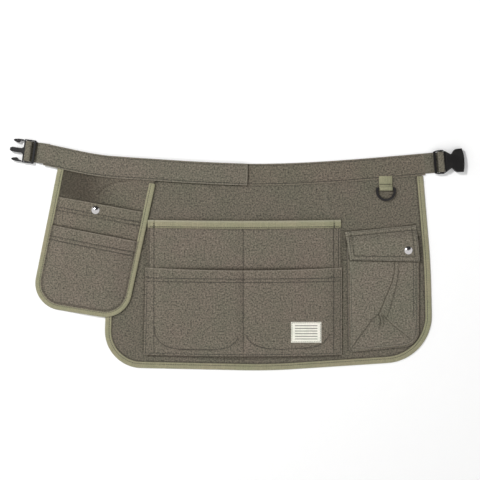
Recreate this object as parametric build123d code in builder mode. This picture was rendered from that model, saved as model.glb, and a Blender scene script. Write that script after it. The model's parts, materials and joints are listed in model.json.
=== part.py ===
"""Waist tool belt of canvas, laid flat: an apron with patch pockets, a cargo pocket with a
flap, a D-ring, and a pouch on its own belt half that slides on hook-and-loop tape.
Millimetres. +X to the wearer-side right of the laid-out belt, +Y towards the waist, +Z up."""
from math import cos, radians, sin
import os

from build123d import *

os.makedirs("parts", exist_ok=True)

# cloth, tape and the gaps between pieces
cloth = 1.2
tape = 0.8
tape_width = 12.0
layer_gap = 0.4
pocket_gap = 4.6
seam_allowance = 12.0
rim = cloth + 2 * tape

# waistband: two halves, each a folded strip along a curve
strap_width = 39.0
band_width = strap_width + 1.0
band_fold = 2 * cloth
strap_fold = 2.0
overlap_end = 20.0

# apron panel
apron_left_top = -238.5
apron_left = -253.0
apron_right = 372.5
apron_right_lean = 20.0
apron_right_bow = (4.0, -20.0)
apron_right_bend = 1500.0
apron_right_top = apron_right - apron_right_lean
apron_bottom_low = -220.75
apron_bottom_left = apron_bottom_low + 6.75
apron_bottom_right = apron_bottom_low + 20.25
apron_low_x = 60.0
apron_corner_left = 70.0
apron_corner_right = 90.0
apron_bottom_bow = 1200.0
apron_tuck_y = 162.0

# cargo pocket's outline, set in from the apron's right side and bottom
cargo_inset = 28.0
cargo_rise = 40.25
cargo_width = 132.5
cargo_bevel = (28.0, 0.5, 28.0)
cargo_right = apron_right - cargo_inset
cargo_left = cargo_right - cargo_width
cargo_bottom = apron_bottom_low + cargo_rise
cargo_foot = cargo_right - cargo_bevel[0]
cargo_corner_x = cargo_right - cargo_bevel[1]
cargo_corner_y = cargo_bottom + cargo_bevel[2]

# large two-part pockets, from the left to a gap beside the cargo pocket
pocket_side_gap = 12.0
big_pocket_left = -171.0
big_pocket_right = cargo_left - pocket_side_gap
big_pocket_rise = 27.75
big_pocket_bottom = apron_bottom_low + big_pocket_rise
big_pocket_mouth = 62.0
big_pocket_seam = (big_pocket_left + big_pocket_right) / 2 - 0.5
big_pocket_tape = 13.0
low_pocket_inset = 3.0
low_pocket_mouth = -28.0
label_size = (57.0, 39.0)
label_corner = (68.5, 46.0)
label_centre = (big_pocket_right - label_corner[0], big_pocket_bottom + label_corner[1])
label_thickness = 0.6

# cargo pocket's gusset and flap
cargo_gusset = 2.4
flap_hinge = ((cargo_left + cargo_right) / 2 - 2.35, 39.2, 5.0)
flap_tilt = 5.5
flap_margin = 1.25
flap_half_width = cargo_width / 2 - flap_margin
flap_drop_left = 44.6
flap_drop_right = 59.0
flap_thickness = 1.8
flap_bend = 12.0
flap_seam_width = 8.5
flap_seam_height = 1.6
flap_corner = 4.0
mouth_below_hinge = 18.0
snap_gap = 2.0
flap_snap = (45.6, -35.9)

# press studs
snap_cap_radius = 7.5
snap_cap_height = 3.0
snap_cap_rim = 0.6
socket_radius = 5.0
socket_bore = 2.6
socket_height = 1.5
stud_radius = 2.2
stud_height = 1.5
stud_base = 0.2
post_radius = 4.5
post_height = 0.6

# D-ring on a webbing loop
ring_centre_x = flap_hinge[0] + 7.0
ring_top = 127.0
ring_radius = 18.8
ring_side = 7.0
ring_bar = 4.4
ring_corner = 3.0
ring_thickness = 3.6
webbing = 1.0
loop_width = 25.0
loop_clearance = 0.5

# pouch
pouch_z = rim + layer_gap
pouch_top_left = (-336.5, 176.0)
pouch_bottom_left = (-391.5, -96.5)
pouch_bottom_right = (-209.5, -126.0)
pouch_top_right = (-154.5, 145.0)
pouch_corner = 51.0
rear_mouth = [(-345.0, 111.0), (-180.0, 80.5)]
front_mouth = [(-359.0, 58.0), (-190.0, 24.5)]
pouch_snap = (-266.6, 84.0)
front_inset = 2.0

# hook-and-loop adjuster
fastener_width = 25.0
hook_length = 150.0
loop_length = 235.0
fastener_end = 8.0

# waist lines, from the overlap outwards
left_line = [(20, 151.4), (-86.6, 156.0), (-183.5, 162.2), (-261.4, 168.8), (-325, 181.2), (-362, 189.2)]
right_line = [
    (-242, 168.0),
    (-86.6, 156.0),
    (24, 151.4),
    (176.5, 156.4),
    (apron_right_top + 3.5, 171.0),
]

# side-release buckle; x runs along each half from the middle of its strap bar
male_reach = (-33.3, 6.3)
male_place = (left_line[-1][0] + male_reach[0], left_line[-1][1] + male_reach[1])
male_tilt = 172.0
female_reach = (31.8, 4.2)
female_place = (right_line[-1][0] + female_reach[0], right_line[-1][1] + female_reach[1])
female_tilt = 5.0
buckle_z = 6.2
strap_clearance = 0.6
buckle_rail = 2.1
slot_length = strap_width + 2 * strap_clearance
buckle_half_width = slot_length / 2 + buckle_rail
buckle_plate = 3.6
bar_half = 3.9
bar_clearance = 0.6
bar_lift = 0.8
slot_front = 6.3
slot_rear = 9.8
plate_rear = 14.0
plate_front = 8.6
plate_corner = 2.0
tail_reach = 24.0
guide_reach = 34.0
guide_width = 8.8
guide_tip = 5.0
guide_flare = 9.5
guide_thickness = 3.4
prong_inset = 2.4
prong_pivot = (10.9, buckle_half_width - prong_inset)
prong_root = 1.4
prong_thickness = 4.4
housing_height = 10.4
housing_end = 43.2
shoulder = (3.3, buckle_half_width + 0.4)
neck = (17.5, prong_pivot[1] - 6.5)
head = (28.0, prong_pivot[1] + 2.0)
head_front = (40.0, prong_pivot[1] + 2.5)
mouth_half_width = prong_pivot[1] - 0.6
mouth_height = 6.0
mouth_start = 20.5
channel_half_width = guide_flare + 1.3
channel_end = 13.0

apron_top = rim - tape


def save(builder, name):
    """Labels a finished piece and writes it."""
    builder.part.label = name
    export_step(builder.part, f"parts/{name}.step")


def strip_face(line, width):
    """A strip of constant width along a smooth line."""
    with BuildSketch() as face:
        with BuildLine():
            Spline(*line)
        trace(line_width=width)
    return face.sketch


def outline_faces(points, radii):
    """A rounded outline, open at its last side: its whole face and the tape's share of it."""
    with BuildSketch() as whole:
        with BuildLine():
            FilletPolyline(*points, radius=radii)
            Line(points[-1], points[0])
        make_face()
    with BuildSketch() as edge:
        with BuildLine():
            FilletPolyline(*points, radius=radii)
        trace(line_width=2 * tape_width)
        add(whole.sketch, mode=Mode.INTERSECT)
    return whole.sketch, edge.sketch


def half_plane(line, reach=400.0):
    """The region above a mouth line, on the waist side."""
    (x0, y0), (x1, y1) = line
    slope = (y1 - y0) / (x1 - x0)
    left, right = (x0 - reach, y0 - slope * reach), (x1 + reach, y1 + slope * reach)
    with BuildSketch() as face:
        with BuildLine():
            Polyline(left, right, (right[0], right[1] + reach), (left[0], left[1] + reach), close=True)
        make_face()
    return face.sketch


def tray(face, mouth, base, wall=cloth):
    """A patch pocket: a shallow tray, closed at its sides and bottom, open at its mouth."""
    with BuildPart() as piece:
        with BuildSketch(Plane.XY.offset(base)):
            add(face)
        extrude(amount=pocket_gap + cloth)
        with BuildSketch(Plane.XY.offset(base)):
            offset(face, amount=-wall)
        extrude(amount=pocket_gap, mode=Mode.SUBTRACT)
        with BuildSketch(Plane.XY.offset(base)):
            add(half_plane(mouth))
        extrude(amount=pocket_gap + cloth, mode=Mode.SUBTRACT)
    return piece


def disc(place, base, height, radius, bore=0.0):
    """A round press-stud part, with an optional bore."""
    with BuildPart() as piece:
        with BuildSketch(Plane.XY.offset(base)):
            with Locations(place):
                Circle(radius)
                if bore:
                    Circle(bore, mode=Mode.SUBTRACT)
        extrude(amount=height)
    return piece


def dome(place, base):
    """A press stud's cap: a thin rim with a domed top."""
    x, y = place
    rise, middle = snap_cap_height - snap_cap_rim, snap_cap_radius / 2
    sphere = (snap_cap_radius**2 + rise**2) / (2 * rise)
    with BuildPart() as piece:
        with BuildSketch(Plane(origin=(x, y, base), x_dir=(1, 0, 0), z_dir=(0, -1, 0))):
            with BuildLine():
                Line((0, snap_cap_height), (0, 0))
                Line((0, 0), (snap_cap_radius, 0))
                Line((snap_cap_radius, 0), (snap_cap_radius, snap_cap_rim))
                ThreePointArc(
                    (snap_cap_radius, snap_cap_rim),
                    (middle, snap_cap_height - sphere + (sphere**2 - middle**2) ** 0.5),
                    (0, snap_cap_height),
                )
            make_face()
        revolve(axis=Axis((x, y, base), (0, 0, 1)))
    return piece


# apron: panel, bound edge and waistband
apron_points = [
    (apron_left_top, apron_tuck_y),
    (apron_left, apron_bottom_left),
    (apron_low_x, apron_bottom_low),
    (apron_right, apron_bottom_right),
    (apron_right - apron_right_bow[0], apron_right_bow[1]),
    (apron_right_top, apron_tuck_y + 8),
]
apron_radii = [apron_corner_left, apron_bottom_bow, apron_corner_right, apron_right_bend]
apron_face, apron_edge = outline_faces(apron_points, apron_radii)
right_band_face = strip_face(right_line, band_width)
left_band_face = strip_face(left_line, band_width)


def above(line, shift):
    """The region on the waist side of a waist line, moved down by a shift."""
    with BuildSketch() as face:
        with BuildLine():
            curve = Spline(*[(x, y - shift) for x, y in line])
            first, last = curve @ 0, curve @ 1
            Polyline(first, (first.X, first.Y + 200), (last.X, last.Y + 200), last)
        make_face()
    return face.sketch


def band_block(line, width, low, high):
    """The space that a waistband takes up between two heights."""
    with BuildPart() as block:
        with BuildSketch(Plane.XY.offset(low)):
            add(strip_face(line, width))
        extrude(amount=high - low)
    return block.part


with BuildPart() as main_panel:
    with BuildSketch(Plane.XY.offset(tape)):
        offset(apron_face, amount=-tape)
        add(above(right_line, band_width / 2 - seam_allowance), mode=Mode.SUBTRACT)
    extrude(amount=cloth)
save(main_panel, "main_panel")

with BuildPart() as main_waistband:
    with BuildSketch():
        add(right_band_face)
    extrude(amount=rim)
    add(main_panel.part, mode=Mode.SUBTRACT)
save(main_waistband, "main_waistband")

with BuildPart() as main_binding:
    with BuildSketch():
        add(apron_edge)
        add(above(right_line, band_width / 2), mode=Mode.SUBTRACT)
    extrude(amount=rim)
    add(main_panel.part, mode=Mode.SUBTRACT)
    add(main_waistband.part, mode=Mode.SUBTRACT)
save(main_binding, "main_binding")

# large pockets: two compartments each, sewn down along a middle seam
def rectangle_face(left, right, bottom, top):
    """A plain rectangle given by its sides."""
    with BuildSketch() as face:
        with BuildLine():
            Polyline((left, bottom), (right, bottom), (right, top), (left, top), close=True)
        make_face()
    return face.sketch


def double_pocket(left, right, bottom, mouth, base):
    """A patch pocket with a sewn-down seam between its two compartments."""
    with BuildPart() as piece:
        with BuildSketch(Plane.XY.offset(base)):
            add(rectangle_face(left, right, bottom, mouth))
        extrude(amount=pocket_gap + cloth)
        with BuildSketch(Plane.XY.offset(base)):
            for low, high in ((left, big_pocket_seam), (big_pocket_seam, right)):
                add(rectangle_face(low + cloth, high - cloth, bottom + cloth, mouth + cloth))
        extrude(amount=pocket_gap, mode=Mode.SUBTRACT)
    return piece


upper_pocket = double_pocket(
    big_pocket_left, big_pocket_right, big_pocket_bottom, big_pocket_mouth, apron_top
)
save(upper_pocket, "upper_pocket")

upper_front = apron_top + pocket_gap
with BuildPart() as upper_pocket_tape:
    with BuildSketch(Plane.XY.offset(upper_front - tape)):
        add(
            rectangle_face(
                big_pocket_left + cloth,
                big_pocket_right - cloth,
                big_pocket_mouth - big_pocket_tape,
                big_pocket_mouth + tape,
            )
        )
        add(
            rectangle_face(
                big_pocket_seam - cloth,
                big_pocket_seam + cloth,
                big_pocket_mouth - big_pocket_tape,
                big_pocket_mouth,
            ),
            mode=Mode.SUBTRACT,
        )
    extrude(amount=rim)
    add(upper_pocket.part, mode=Mode.SUBTRACT)
save(upper_pocket_tape, "upper_pocket_tape")

lower_base = upper_front + cloth
lower_pocket = double_pocket(
    big_pocket_left + low_pocket_inset,
    big_pocket_right - low_pocket_inset,
    big_pocket_bottom + low_pocket_inset,
    low_pocket_mouth,
    lower_base,
)
save(lower_pocket, "lower_pocket")

with BuildPart() as label:
    with BuildSketch(Plane.XY.offset(lower_base + pocket_gap + cloth)):
        with Locations(label_centre):
            Rectangle(*label_size)
    extrude(amount=label_thickness)
save(label, "label")

# cargo pocket: a stiff gusset strip round three sides, and a front that closes it
hinge_x, hinge_y, hinge_z = flap_hinge
tilt_x, tilt_y = cos(radians(flap_tilt)), sin(radians(flap_tilt))


def on_flap(along, across):
    """A plan position from distances along the flap's hinge and across it."""
    return (hinge_x + along * tilt_x - across * tilt_y, hinge_y + along * tilt_y + across * tilt_x)


cargo_top = hinge_y
cargo_mouth = [on_flap(-flap_half_width, -mouth_below_hinge), on_flap(flap_half_width, -mouth_below_hinge)]
with BuildSketch() as cargo_face:
    with BuildLine():
        Polyline(
            (cargo_left, cargo_top),
            (cargo_left + cargo_gusset, cargo_bottom),
            (cargo_foot, cargo_bottom),
            (cargo_corner_x, cargo_corner_y),
            (cargo_right, cargo_top),
            close=True,
        )
    make_face()
with BuildPart() as cargo_gusset_strip:
    with BuildSketch(Plane.XY.offset(apron_top)):
        add(cargo_face.sketch)
        offset(cargo_face.sketch, amount=-cargo_gusset, mode=Mode.SUBTRACT)
        add(half_plane(cargo_mouth), mode=Mode.SUBTRACT)
    extrude(amount=pocket_gap)
save(cargo_gusset_strip, "cargo_gusset")

cargo_front_top = apron_top + pocket_gap + cloth
with BuildPart() as cargo_pocket:
    with BuildSketch(Plane.XY.offset(apron_top + pocket_gap)):
        add(cargo_face.sketch)
        add(half_plane(cargo_mouth), mode=Mode.SUBTRACT)
    extrude(amount=cloth)
save(cargo_pocket, "cargo_pocket")

snap_place = on_flap(*flap_snap)
with BuildPart() as cargo_snap_stud:
    add(disc(snap_place, cargo_front_top, stud_base, post_radius).part)
    add(disc(snap_place, cargo_front_top, stud_height, stud_radius).part)
save(cargo_snap_stud, "cargo_snap_stud")
save(disc(snap_place, cargo_front_top - cloth - post_height, post_height, post_radius), "cargo_snap_post")

# flap: a bent plate that turns about its top seam
flap_level = cargo_front_top + snap_gap + flap_thickness / 2
flap_section = Plane(
    origin=flap_hinge, x_dir=(tilt_y, -tilt_x, 0), z_dir=(-tilt_x, -tilt_y, 0)
)
flap_plan = Plane(origin=(hinge_x, hinge_y, 0), x_dir=(tilt_x, tilt_y, 0), z_dir=(0, 0, 1))
with BuildPart() as flap:
    with BuildSketch(flap_section):
        with BuildLine():
            Polyline((0, 0), (flap_bend, flap_level - hinge_z), (flap_drop_right + 1, flap_level - hinge_z))
        trace(line_width=flap_thickness)
        Circle(flap_thickness / 2)
    extrude(amount=flap_half_width, both=True)
    with BuildSketch(flap_plan) as flap_outline:
        with BuildLine():
            free_edge = Polyline(
                (-flap_half_width, flap_thickness),
                (-flap_half_width, -flap_drop_left),
                (flap_half_width, -flap_drop_right),
                (flap_half_width, flap_thickness),
                close=True,
            )
        make_face()
        fillet(flap_outline.vertices().group_by(Axis.Y)[0], radius=flap_corner)
        fillet(flap_outline.vertices().sort_by(Axis.X).group_by(Axis.X)[0].sort_by(Axis.Y)[0], radius=flap_corner)
    extrude(amount=flap_level + flap_thickness, mode=Mode.INTERSECT)
save(flap, "flap")

with BuildPart() as flap_seam:
    with BuildSketch(Plane(origin=flap_plan.origin + Vector(0, 0, apron_top), x_dir=flap_plan.x_dir)):
        with Locations((0, flap_seam_width / 2 + flap_thickness / 2 + layer_gap)):
            Rectangle(2 * flap_half_width, flap_seam_width)
    extrude(amount=flap_seam_height)
save(flap_seam, "flap_seam")

flap_under = flap_level - flap_thickness / 2
save(
    dome(snap_place, flap_under + flap_thickness),
    "flap_snap_cap",
)
save(disc(snap_place, flap_under - socket_height, socket_height, socket_radius, socket_bore), "flap_snap_socket")

# D-ring and its webbing loop
ring_z = apron_top + ring_bar / 2 + loop_clearance + webbing
bar_y = ring_top - ring_bar / 2
ring_sides = (ring_centre_x - ring_radius, ring_centre_x + ring_radius)
with BuildSketch() as ring_face:
    with BuildLine():
        Polyline(
            (ring_sides[0], ring_top - ring_side),
            (ring_sides[0], ring_top),
            (ring_sides[1], ring_top),
            (ring_sides[1], ring_top - ring_side),
        )
        ThreePointArc(
            (ring_sides[0], ring_top - ring_side),
            (ring_centre_x, ring_top - ring_side - ring_radius),
            (ring_sides[1], ring_top - ring_side),
        )
    make_face()
    fillet(ring_face.vertices().group_by(Axis.Y)[-1], radius=ring_corner)
with BuildPart() as d_ring:
    with BuildSketch(Plane.XY.offset(ring_z - ring_thickness / 2)):
        add(ring_face.sketch)
        offset(ring_face.sketch, amount=-ring_bar, mode=Mode.SUBTRACT)
    extrude(amount=ring_thickness)
    chamfer(d_ring.faces().group_by(Axis.Z)[-1].edges(), length=0.6)
    chamfer(d_ring.faces().group_by(Axis.Z)[0].edges(), length=0.6)
save(d_ring, "d_ring")

loop_bore = ring_bar / 2 + loop_clearance
with BuildPart() as d_ring_loop:
    with BuildSketch(Plane(origin=(ring_centre_x, bar_y, ring_z), x_dir=(0, 1, 0), z_dir=(1, 0, 0))):
        Circle(loop_bore + webbing)
        with BuildLine():
            Polyline(
                (0, -loop_bore - webbing),
                (3 * ring_bar, -loop_bore - webbing),
                (3 * ring_bar, webbing - loop_bore),
                (loop_bore + webbing, webbing - loop_bore),
                (loop_bore, 0),
                (0, 0),
                close=True,
            )
        make_face()
        Circle(loop_bore, mode=Mode.SUBTRACT)
    extrude(amount=loop_width / 2, both=True)
    add(band_block(right_line, band_width, 0, ring_z + loop_bore), mode=Mode.SUBTRACT)
    with BuildSketch():
        add(above(right_line, 0))
    extrude(amount=2 * ring_z, mode=Mode.SUBTRACT)
save(d_ring_loop, "d_ring_loop")

# hook-and-loop adjuster: loop tape on the apron's band, hook tape under the pouch's band
def along_overlap(start, length, width):
    """A tape face laid along the waist lines' shared run, from its inner end outwards."""
    (x0, y0), (x1, y1) = left_line[0], left_line[1]
    span = ((x1 - x0) ** 2 + (y1 - y0) ** 2) ** 0.5
    direction = ((x1 - x0) / span, (y1 - y0) / span)
    ends = [(x0 + direction[0] * d, y0 + direction[1] * d) for d in (start, start + length)]
    with BuildSketch() as face:
        with BuildLine():
            Line(*ends)
        trace(line_width=width)
    return face.sketch


with BuildPart() as loop_strip:
    with BuildSketch(Plane.XY.offset(rim)):
        add(along_overlap(fastener_end, loop_length, fastener_width))
        add(right_band_face, mode=Mode.INTERSECT)
    extrude(amount=tape)
save(loop_strip, "loop_strip")

pouch_panel_z = pouch_z + tape
pouch_top = pouch_panel_z + cloth
with BuildPart() as hook_strip:
    with BuildSketch(Plane.XY.offset(pouch_panel_z)):
        add(along_overlap(fastener_end, hook_length, fastener_width))
        add(left_band_face, mode=Mode.INTERSECT)
    extrude(amount=cloth)
save(hook_strip, "hook_strip")

with BuildPart() as left_waistband:
    with BuildSketch(Plane.XY.offset(pouch_top)):
        add(left_band_face)
    extrude(amount=band_fold)
save(left_waistband, "left_waistband")

# pouch: panel, bound edge and two stacked pockets
pouch_points = [pouch_top_left, pouch_bottom_left, pouch_bottom_right, pouch_top_right]
pouch_face, pouch_edge = outline_faces(pouch_points, [pouch_corner, pouch_corner])
with BuildPart() as pouch_panel:
    with BuildSketch(Plane.XY.offset(pouch_panel_z)):
        offset(pouch_face, amount=-tape)
        add(above(left_line, band_width / 2 - seam_allowance), mode=Mode.SUBTRACT)
    extrude(amount=cloth)
save(pouch_panel, "pouch_panel")

with BuildPart() as pouch_binding:
    with BuildSketch(Plane.XY.offset(pouch_z)):
        add(pouch_edge)
        add(above(left_line, band_width / 2), mode=Mode.SUBTRACT)
    extrude(amount=rim)
    add(pouch_panel.part, mode=Mode.SUBTRACT)
    add(left_waistband.part, mode=Mode.SUBTRACT)
save(pouch_binding, "pouch_binding")

with BuildSketch() as rear_face:
    offset(pouch_face, amount=-tape_width - layer_gap)
pouch_rear_pocket = tray(rear_face.sketch, rear_mouth, pouch_top)
save(pouch_rear_pocket, "pouch_rear_pocket")

rear_front = pouch_top + pocket_gap + cloth
with BuildSketch() as front_face:
    offset(rear_face.sketch, amount=-front_inset)
pouch_front_pocket = tray(front_face.sketch, front_mouth, rear_front)
save(pouch_front_pocket, "pouch_front_pocket")

snap_under = rear_front - cloth
save(dome(pouch_snap, rear_front), "pouch_snap_cap")
save(
    disc(pouch_snap, snap_under - socket_height, socket_height, socket_radius, socket_bore),
    "pouch_snap_socket",
)
with BuildPart() as pouch_snap_stud:
    add(disc(pouch_snap, pouch_top, stud_base, post_radius).part)
    add(disc(pouch_snap, pouch_top, pocket_gap - layer_gap, stud_radius).part)
save(pouch_snap_stud, "pouch_snap_stud")
save(disc(pouch_snap, pouch_panel_z - post_height, post_height, post_radius), "pouch_snap_post")


# buckle halves, each in its own plane at the middle of its strap bar
def buckle_plane(place, angle, height):
    """A plane at a buckle's strap bar, with its x axis towards the buckle's free end."""
    return Plane(
        origin=(place[0], place[1], height), x_dir=(cos(radians(angle)), sin(radians(angle)), 0)
    )


def strap_end(place, angle, far_z):
    """A strap end sewn round the strap bar, whose tail runs back to its waistband."""
    outward = (cos(radians(angle)), sin(radians(angle)), 0)
    side = Plane(
        origin=(place[0], place[1], 0), x_dir=outward, z_dir=(outward[1], -outward[0], 0)
    )
    inner_x, inner_z = bar_half + bar_clearance, buckle_plate / 2 + bar_lift
    under = buckle_z - inner_z - cloth
    with BuildPart() as piece:
        with BuildSketch(side):
            with Locations((0, buckle_z)):
                RectangleRounded(2 * (inner_x + cloth), 2 * (inner_z + cloth), cloth + bar_clearance)
            with BuildLine():
                Polyline(
                    (0, under + cloth / 2),
                    (-slot_rear, strap_fold),
                    (-plate_rear - cloth, strap_fold),
                    (-tail_reach, far_z + strap_fold),
                    (-tail_reach - overlap_end, far_z + strap_fold),
                    (-tail_reach - overlap_end, far_z),
                    (-tail_reach, far_z),
                    (-plate_rear - cloth, 0),
                    (-slot_rear, 0),
                    (0, under),
                    close=True,
                )
            make_face()
            with Locations((0, buckle_z)):
                RectangleRounded(2 * inner_x, 2 * inner_z, bar_clearance, mode=Mode.SUBTRACT)
        extrude(amount=strap_width / 2, both=True)
    return piece


def cut_slots(plane):
    """The two strap slots of a buckle half, as a cutter."""
    with BuildPart() as cutter:
        with BuildSketch(plane.offset(-buckle_plate)):
            for low, high in ((-slot_rear, -bar_half), (bar_half, slot_front)):
                with Locations(((low + high) / 2, 0)):
                    Rectangle(high - low, slot_length)
        extrude(amount=2 * buckle_plate)
    return cutter.part


with BuildPart() as left_strap_end:
    add(strap_end(male_place, male_tilt, pouch_top).part)
    add(left_waistband.part, mode=Mode.SUBTRACT)
save(left_strap_end, "left_strap_end")

with BuildPart() as right_strap_end:
    add(strap_end(female_place, female_tilt, 0).part)
    add(band_block(right_line, band_width, 0, rim), mode=Mode.SUBTRACT)
save(right_strap_end, "right_strap_end")

male_plane = buckle_plane(male_place, male_tilt, buckle_z)
with BuildPart() as male_buckle:
    with BuildSketch(male_plane.offset(-buckle_plate / 2)):
        with Locations(((plate_front - plate_rear) / 2, 0)):
            RectangleRounded(plate_front + plate_rear, 2 * buckle_half_width, plate_corner)
    extrude(amount=buckle_plate)
    chamfer(male_buckle.faces().group_by(Axis.Z)[-1].edges(), length=0.7)
    with BuildSketch(male_plane.offset(-guide_thickness / 2)):
        with BuildLine():
            flare, low_flare = (plate_front - 1, guide_flare), (plate_front - 1, -guide_flare)
            root, low_root = (plate_front + 5, guide_width / 2), (plate_front + 5, -guide_width / 2)
            ThreePointArc(flare, (plate_front + 1, guide_width / 2 + 1.6), root)
            Polyline(
                root,
                (guide_reach - 4, guide_width / 2),
                (guide_reach, guide_tip / 2),
                (guide_reach, -guide_tip / 2),
                (guide_reach - 4, -guide_width / 2),
                low_root,
            )
            ThreePointArc(low_root, (plate_front + 1, -guide_width / 2 - 1.6), low_flare)
            Line(low_flare, flare)
        make_face()
    extrude(amount=guide_thickness)
    with BuildSketch(male_plane.offset(guide_thickness / 2)):
        with Locations(((plate_front + guide_reach) / 2, 0)):
            RectangleRounded(guide_reach - plate_front - 6, guide_width / 4, 1)
    extrude(amount=0.5)
    add(cut_slots(male_plane), mode=Mode.SUBTRACT)
save(male_buckle, "male_buckle")


def prong(side):
    """A sprung arm with its barbed head, on one side of the guide."""
    pivot_x, pivot_y = prong_pivot
    half = [
        (pivot_x, pivot_y - prong_root),
        (16.0, pivot_y - prong_root),
        (17.4, pivot_y - 5.0),
        (19.6, pivot_y - 5.6),
        (26.2, pivot_y - 4.3),
        (28.8, pivot_y - 3.0),
        (29.2, pivot_y - 1.2),
        (27.0, pivot_y + 0.3),
        (19.5, pivot_y + prong_root),
        (pivot_x, pivot_y + prong_root),
    ]
    with BuildPart() as piece:
        with BuildSketch(male_plane.offset(-prong_thickness / 2)):
            with Locations((pivot_x, side * pivot_y)):
                Circle(prong_root)
            with BuildLine():
                Polyline(*[(x, side * y) for x, y in half], close=True)
            make_face()
        extrude(amount=prong_thickness)
        chamfer(piece.faces().group_by(Axis.Z)[-1].edges(), length=0.5)
    return piece


save(prong(-1), "upper_prong")
save(prong(1), "lower_prong")

female_plane = buckle_plane(female_place, female_tilt, buckle_z)
housing_half = [
    (-plate_rear, shoulder[1] - 2.2),
    (-plate_rear + 2, shoulder[1] - 1.2),
    (-slot_front, shoulder[1]),
    shoulder,
    (plate_front, shoulder[1] - 3.2),
    neck,
    (neck[0] + 2.2, neck[1]),
    (neck[0] + 4.5, neck[1] + 1.8),
    (head[0] - 3.0, head[1] - 2.0),
    head,
    head_front,
]


def housing_face():
    """The socket half's outline, with a bowed front."""
    with BuildSketch() as face:
        with BuildLine():
            Polyline(*housing_half)
            Polyline(*[(x, -y) for x, y in housing_half])
            Line(housing_half[0], (housing_half[0][0], -housing_half[0][1]))
            ThreePointArc(head_front, (housing_end, 0), (head_front[0], -head_front[1]))
        make_face()
    return face.sketch


with BuildPart() as female_buckle:
    with BuildSketch(female_plane.offset(-housing_height / 2)):
        add(housing_face())
        with Locations((plate_front - housing_end, 0)):
            Rectangle(2 * housing_end, 3 * shoulder[1], mode=Mode.SUBTRACT)
    extrude(amount=housing_height)
    chamfer(female_buckle.faces().group_by(Axis.Z)[-1].edges(), length=1.0)
    chamfer(female_buckle.faces().group_by(Axis.Z)[0].edges(), length=0.6)
    with BuildSketch(female_plane.offset(-buckle_plate / 2)):
        add(housing_face())
        with Locations((plate_front + housing_end, 0)):
            Rectangle(2 * housing_end, 3 * shoulder[1], mode=Mode.SUBTRACT)
    extrude(amount=buckle_plate)
    add(cut_slots(female_plane), mode=Mode.SUBTRACT)
    with BuildSketch(female_plane.offset(-mouth_height / 2)):
        with Locations(((housing_end + mouth_start) / 2 + 1, 0)):
            Rectangle(housing_end - mouth_start + 2, 2 * mouth_half_width)
        with Locations(((channel_end + mouth_start) / 2 + 1, 0)):
            Rectangle(mouth_start - channel_end + 2, 2 * channel_half_width)
    extrude(amount=mouth_height, mode=Mode.SUBTRACT)
save(female_buckle, "female_buckle")
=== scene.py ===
import json
import math

import bpy
import numpy as np
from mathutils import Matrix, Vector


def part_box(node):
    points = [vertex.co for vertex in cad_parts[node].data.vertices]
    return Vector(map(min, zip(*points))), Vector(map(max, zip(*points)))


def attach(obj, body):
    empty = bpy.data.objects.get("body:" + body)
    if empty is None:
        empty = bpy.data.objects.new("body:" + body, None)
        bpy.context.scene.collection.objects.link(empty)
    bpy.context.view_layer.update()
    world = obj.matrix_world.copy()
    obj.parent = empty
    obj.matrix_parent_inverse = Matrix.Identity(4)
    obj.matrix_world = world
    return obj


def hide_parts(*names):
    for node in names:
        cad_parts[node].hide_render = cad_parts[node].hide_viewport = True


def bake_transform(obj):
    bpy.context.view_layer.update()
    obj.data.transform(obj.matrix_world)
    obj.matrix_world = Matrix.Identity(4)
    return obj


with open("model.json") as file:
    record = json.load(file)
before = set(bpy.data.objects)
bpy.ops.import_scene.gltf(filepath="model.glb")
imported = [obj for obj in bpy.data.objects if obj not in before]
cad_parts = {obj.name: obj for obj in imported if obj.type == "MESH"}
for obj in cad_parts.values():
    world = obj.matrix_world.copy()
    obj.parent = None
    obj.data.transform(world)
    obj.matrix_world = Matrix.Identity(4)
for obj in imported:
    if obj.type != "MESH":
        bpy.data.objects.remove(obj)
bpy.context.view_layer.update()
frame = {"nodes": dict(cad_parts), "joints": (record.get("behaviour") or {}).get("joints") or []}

# The looks of a canvas waist tool belt, laid flat. Lengths below are millimetres; meshes are in metres.
mm = 0.001
print("frame loaded")


def edges(node):
    # the six sides of a CAD node's box
    low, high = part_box(node)
    names = ("left", "near", "low", "right", "far", "top")
    return dict(zip(names, [value / mm for value in (*low, *high)]))


def joint(name):
    # a joint's place in millimetres and its axis
    found = next(j for j in frame["joints"] if j["name"] == name)
    return np.array(found["pos_m"]) / mm, np.array(found["axis"])


def bell(distance, width):
    # e^-(d/w)^2: 1 at no distance, fading over the width
    return np.exp(-((distance / width) ** 2))


def ease(share):
    # 3t^2 - 2t^3 from 0 to 1, flat outside
    t = np.clip(share, 0, 1)
    return t * t * (3 - 2 * t)


def runLengths(line):
    # the distance along a chain of straight runs, from its start to each of its points
    return np.concatenate([[0], np.cumsum(np.linalg.norm(np.diff(line, axis=0), axis=1))])


def fitted(line, count):
    # a given number of even points along a chain of straight runs
    line = np.asarray(line, float)
    along = runLengths(line)
    at = np.linspace(0, along[-1], count)
    return np.stack([np.interp(at, along, values) for values in line.T], axis=1)


def resample(line, step):
    # points a step apart along a chain of straight runs
    return fitted(line, max(2, round(runLengths(np.asarray(line, float))[-1] / step) + 1))


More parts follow.
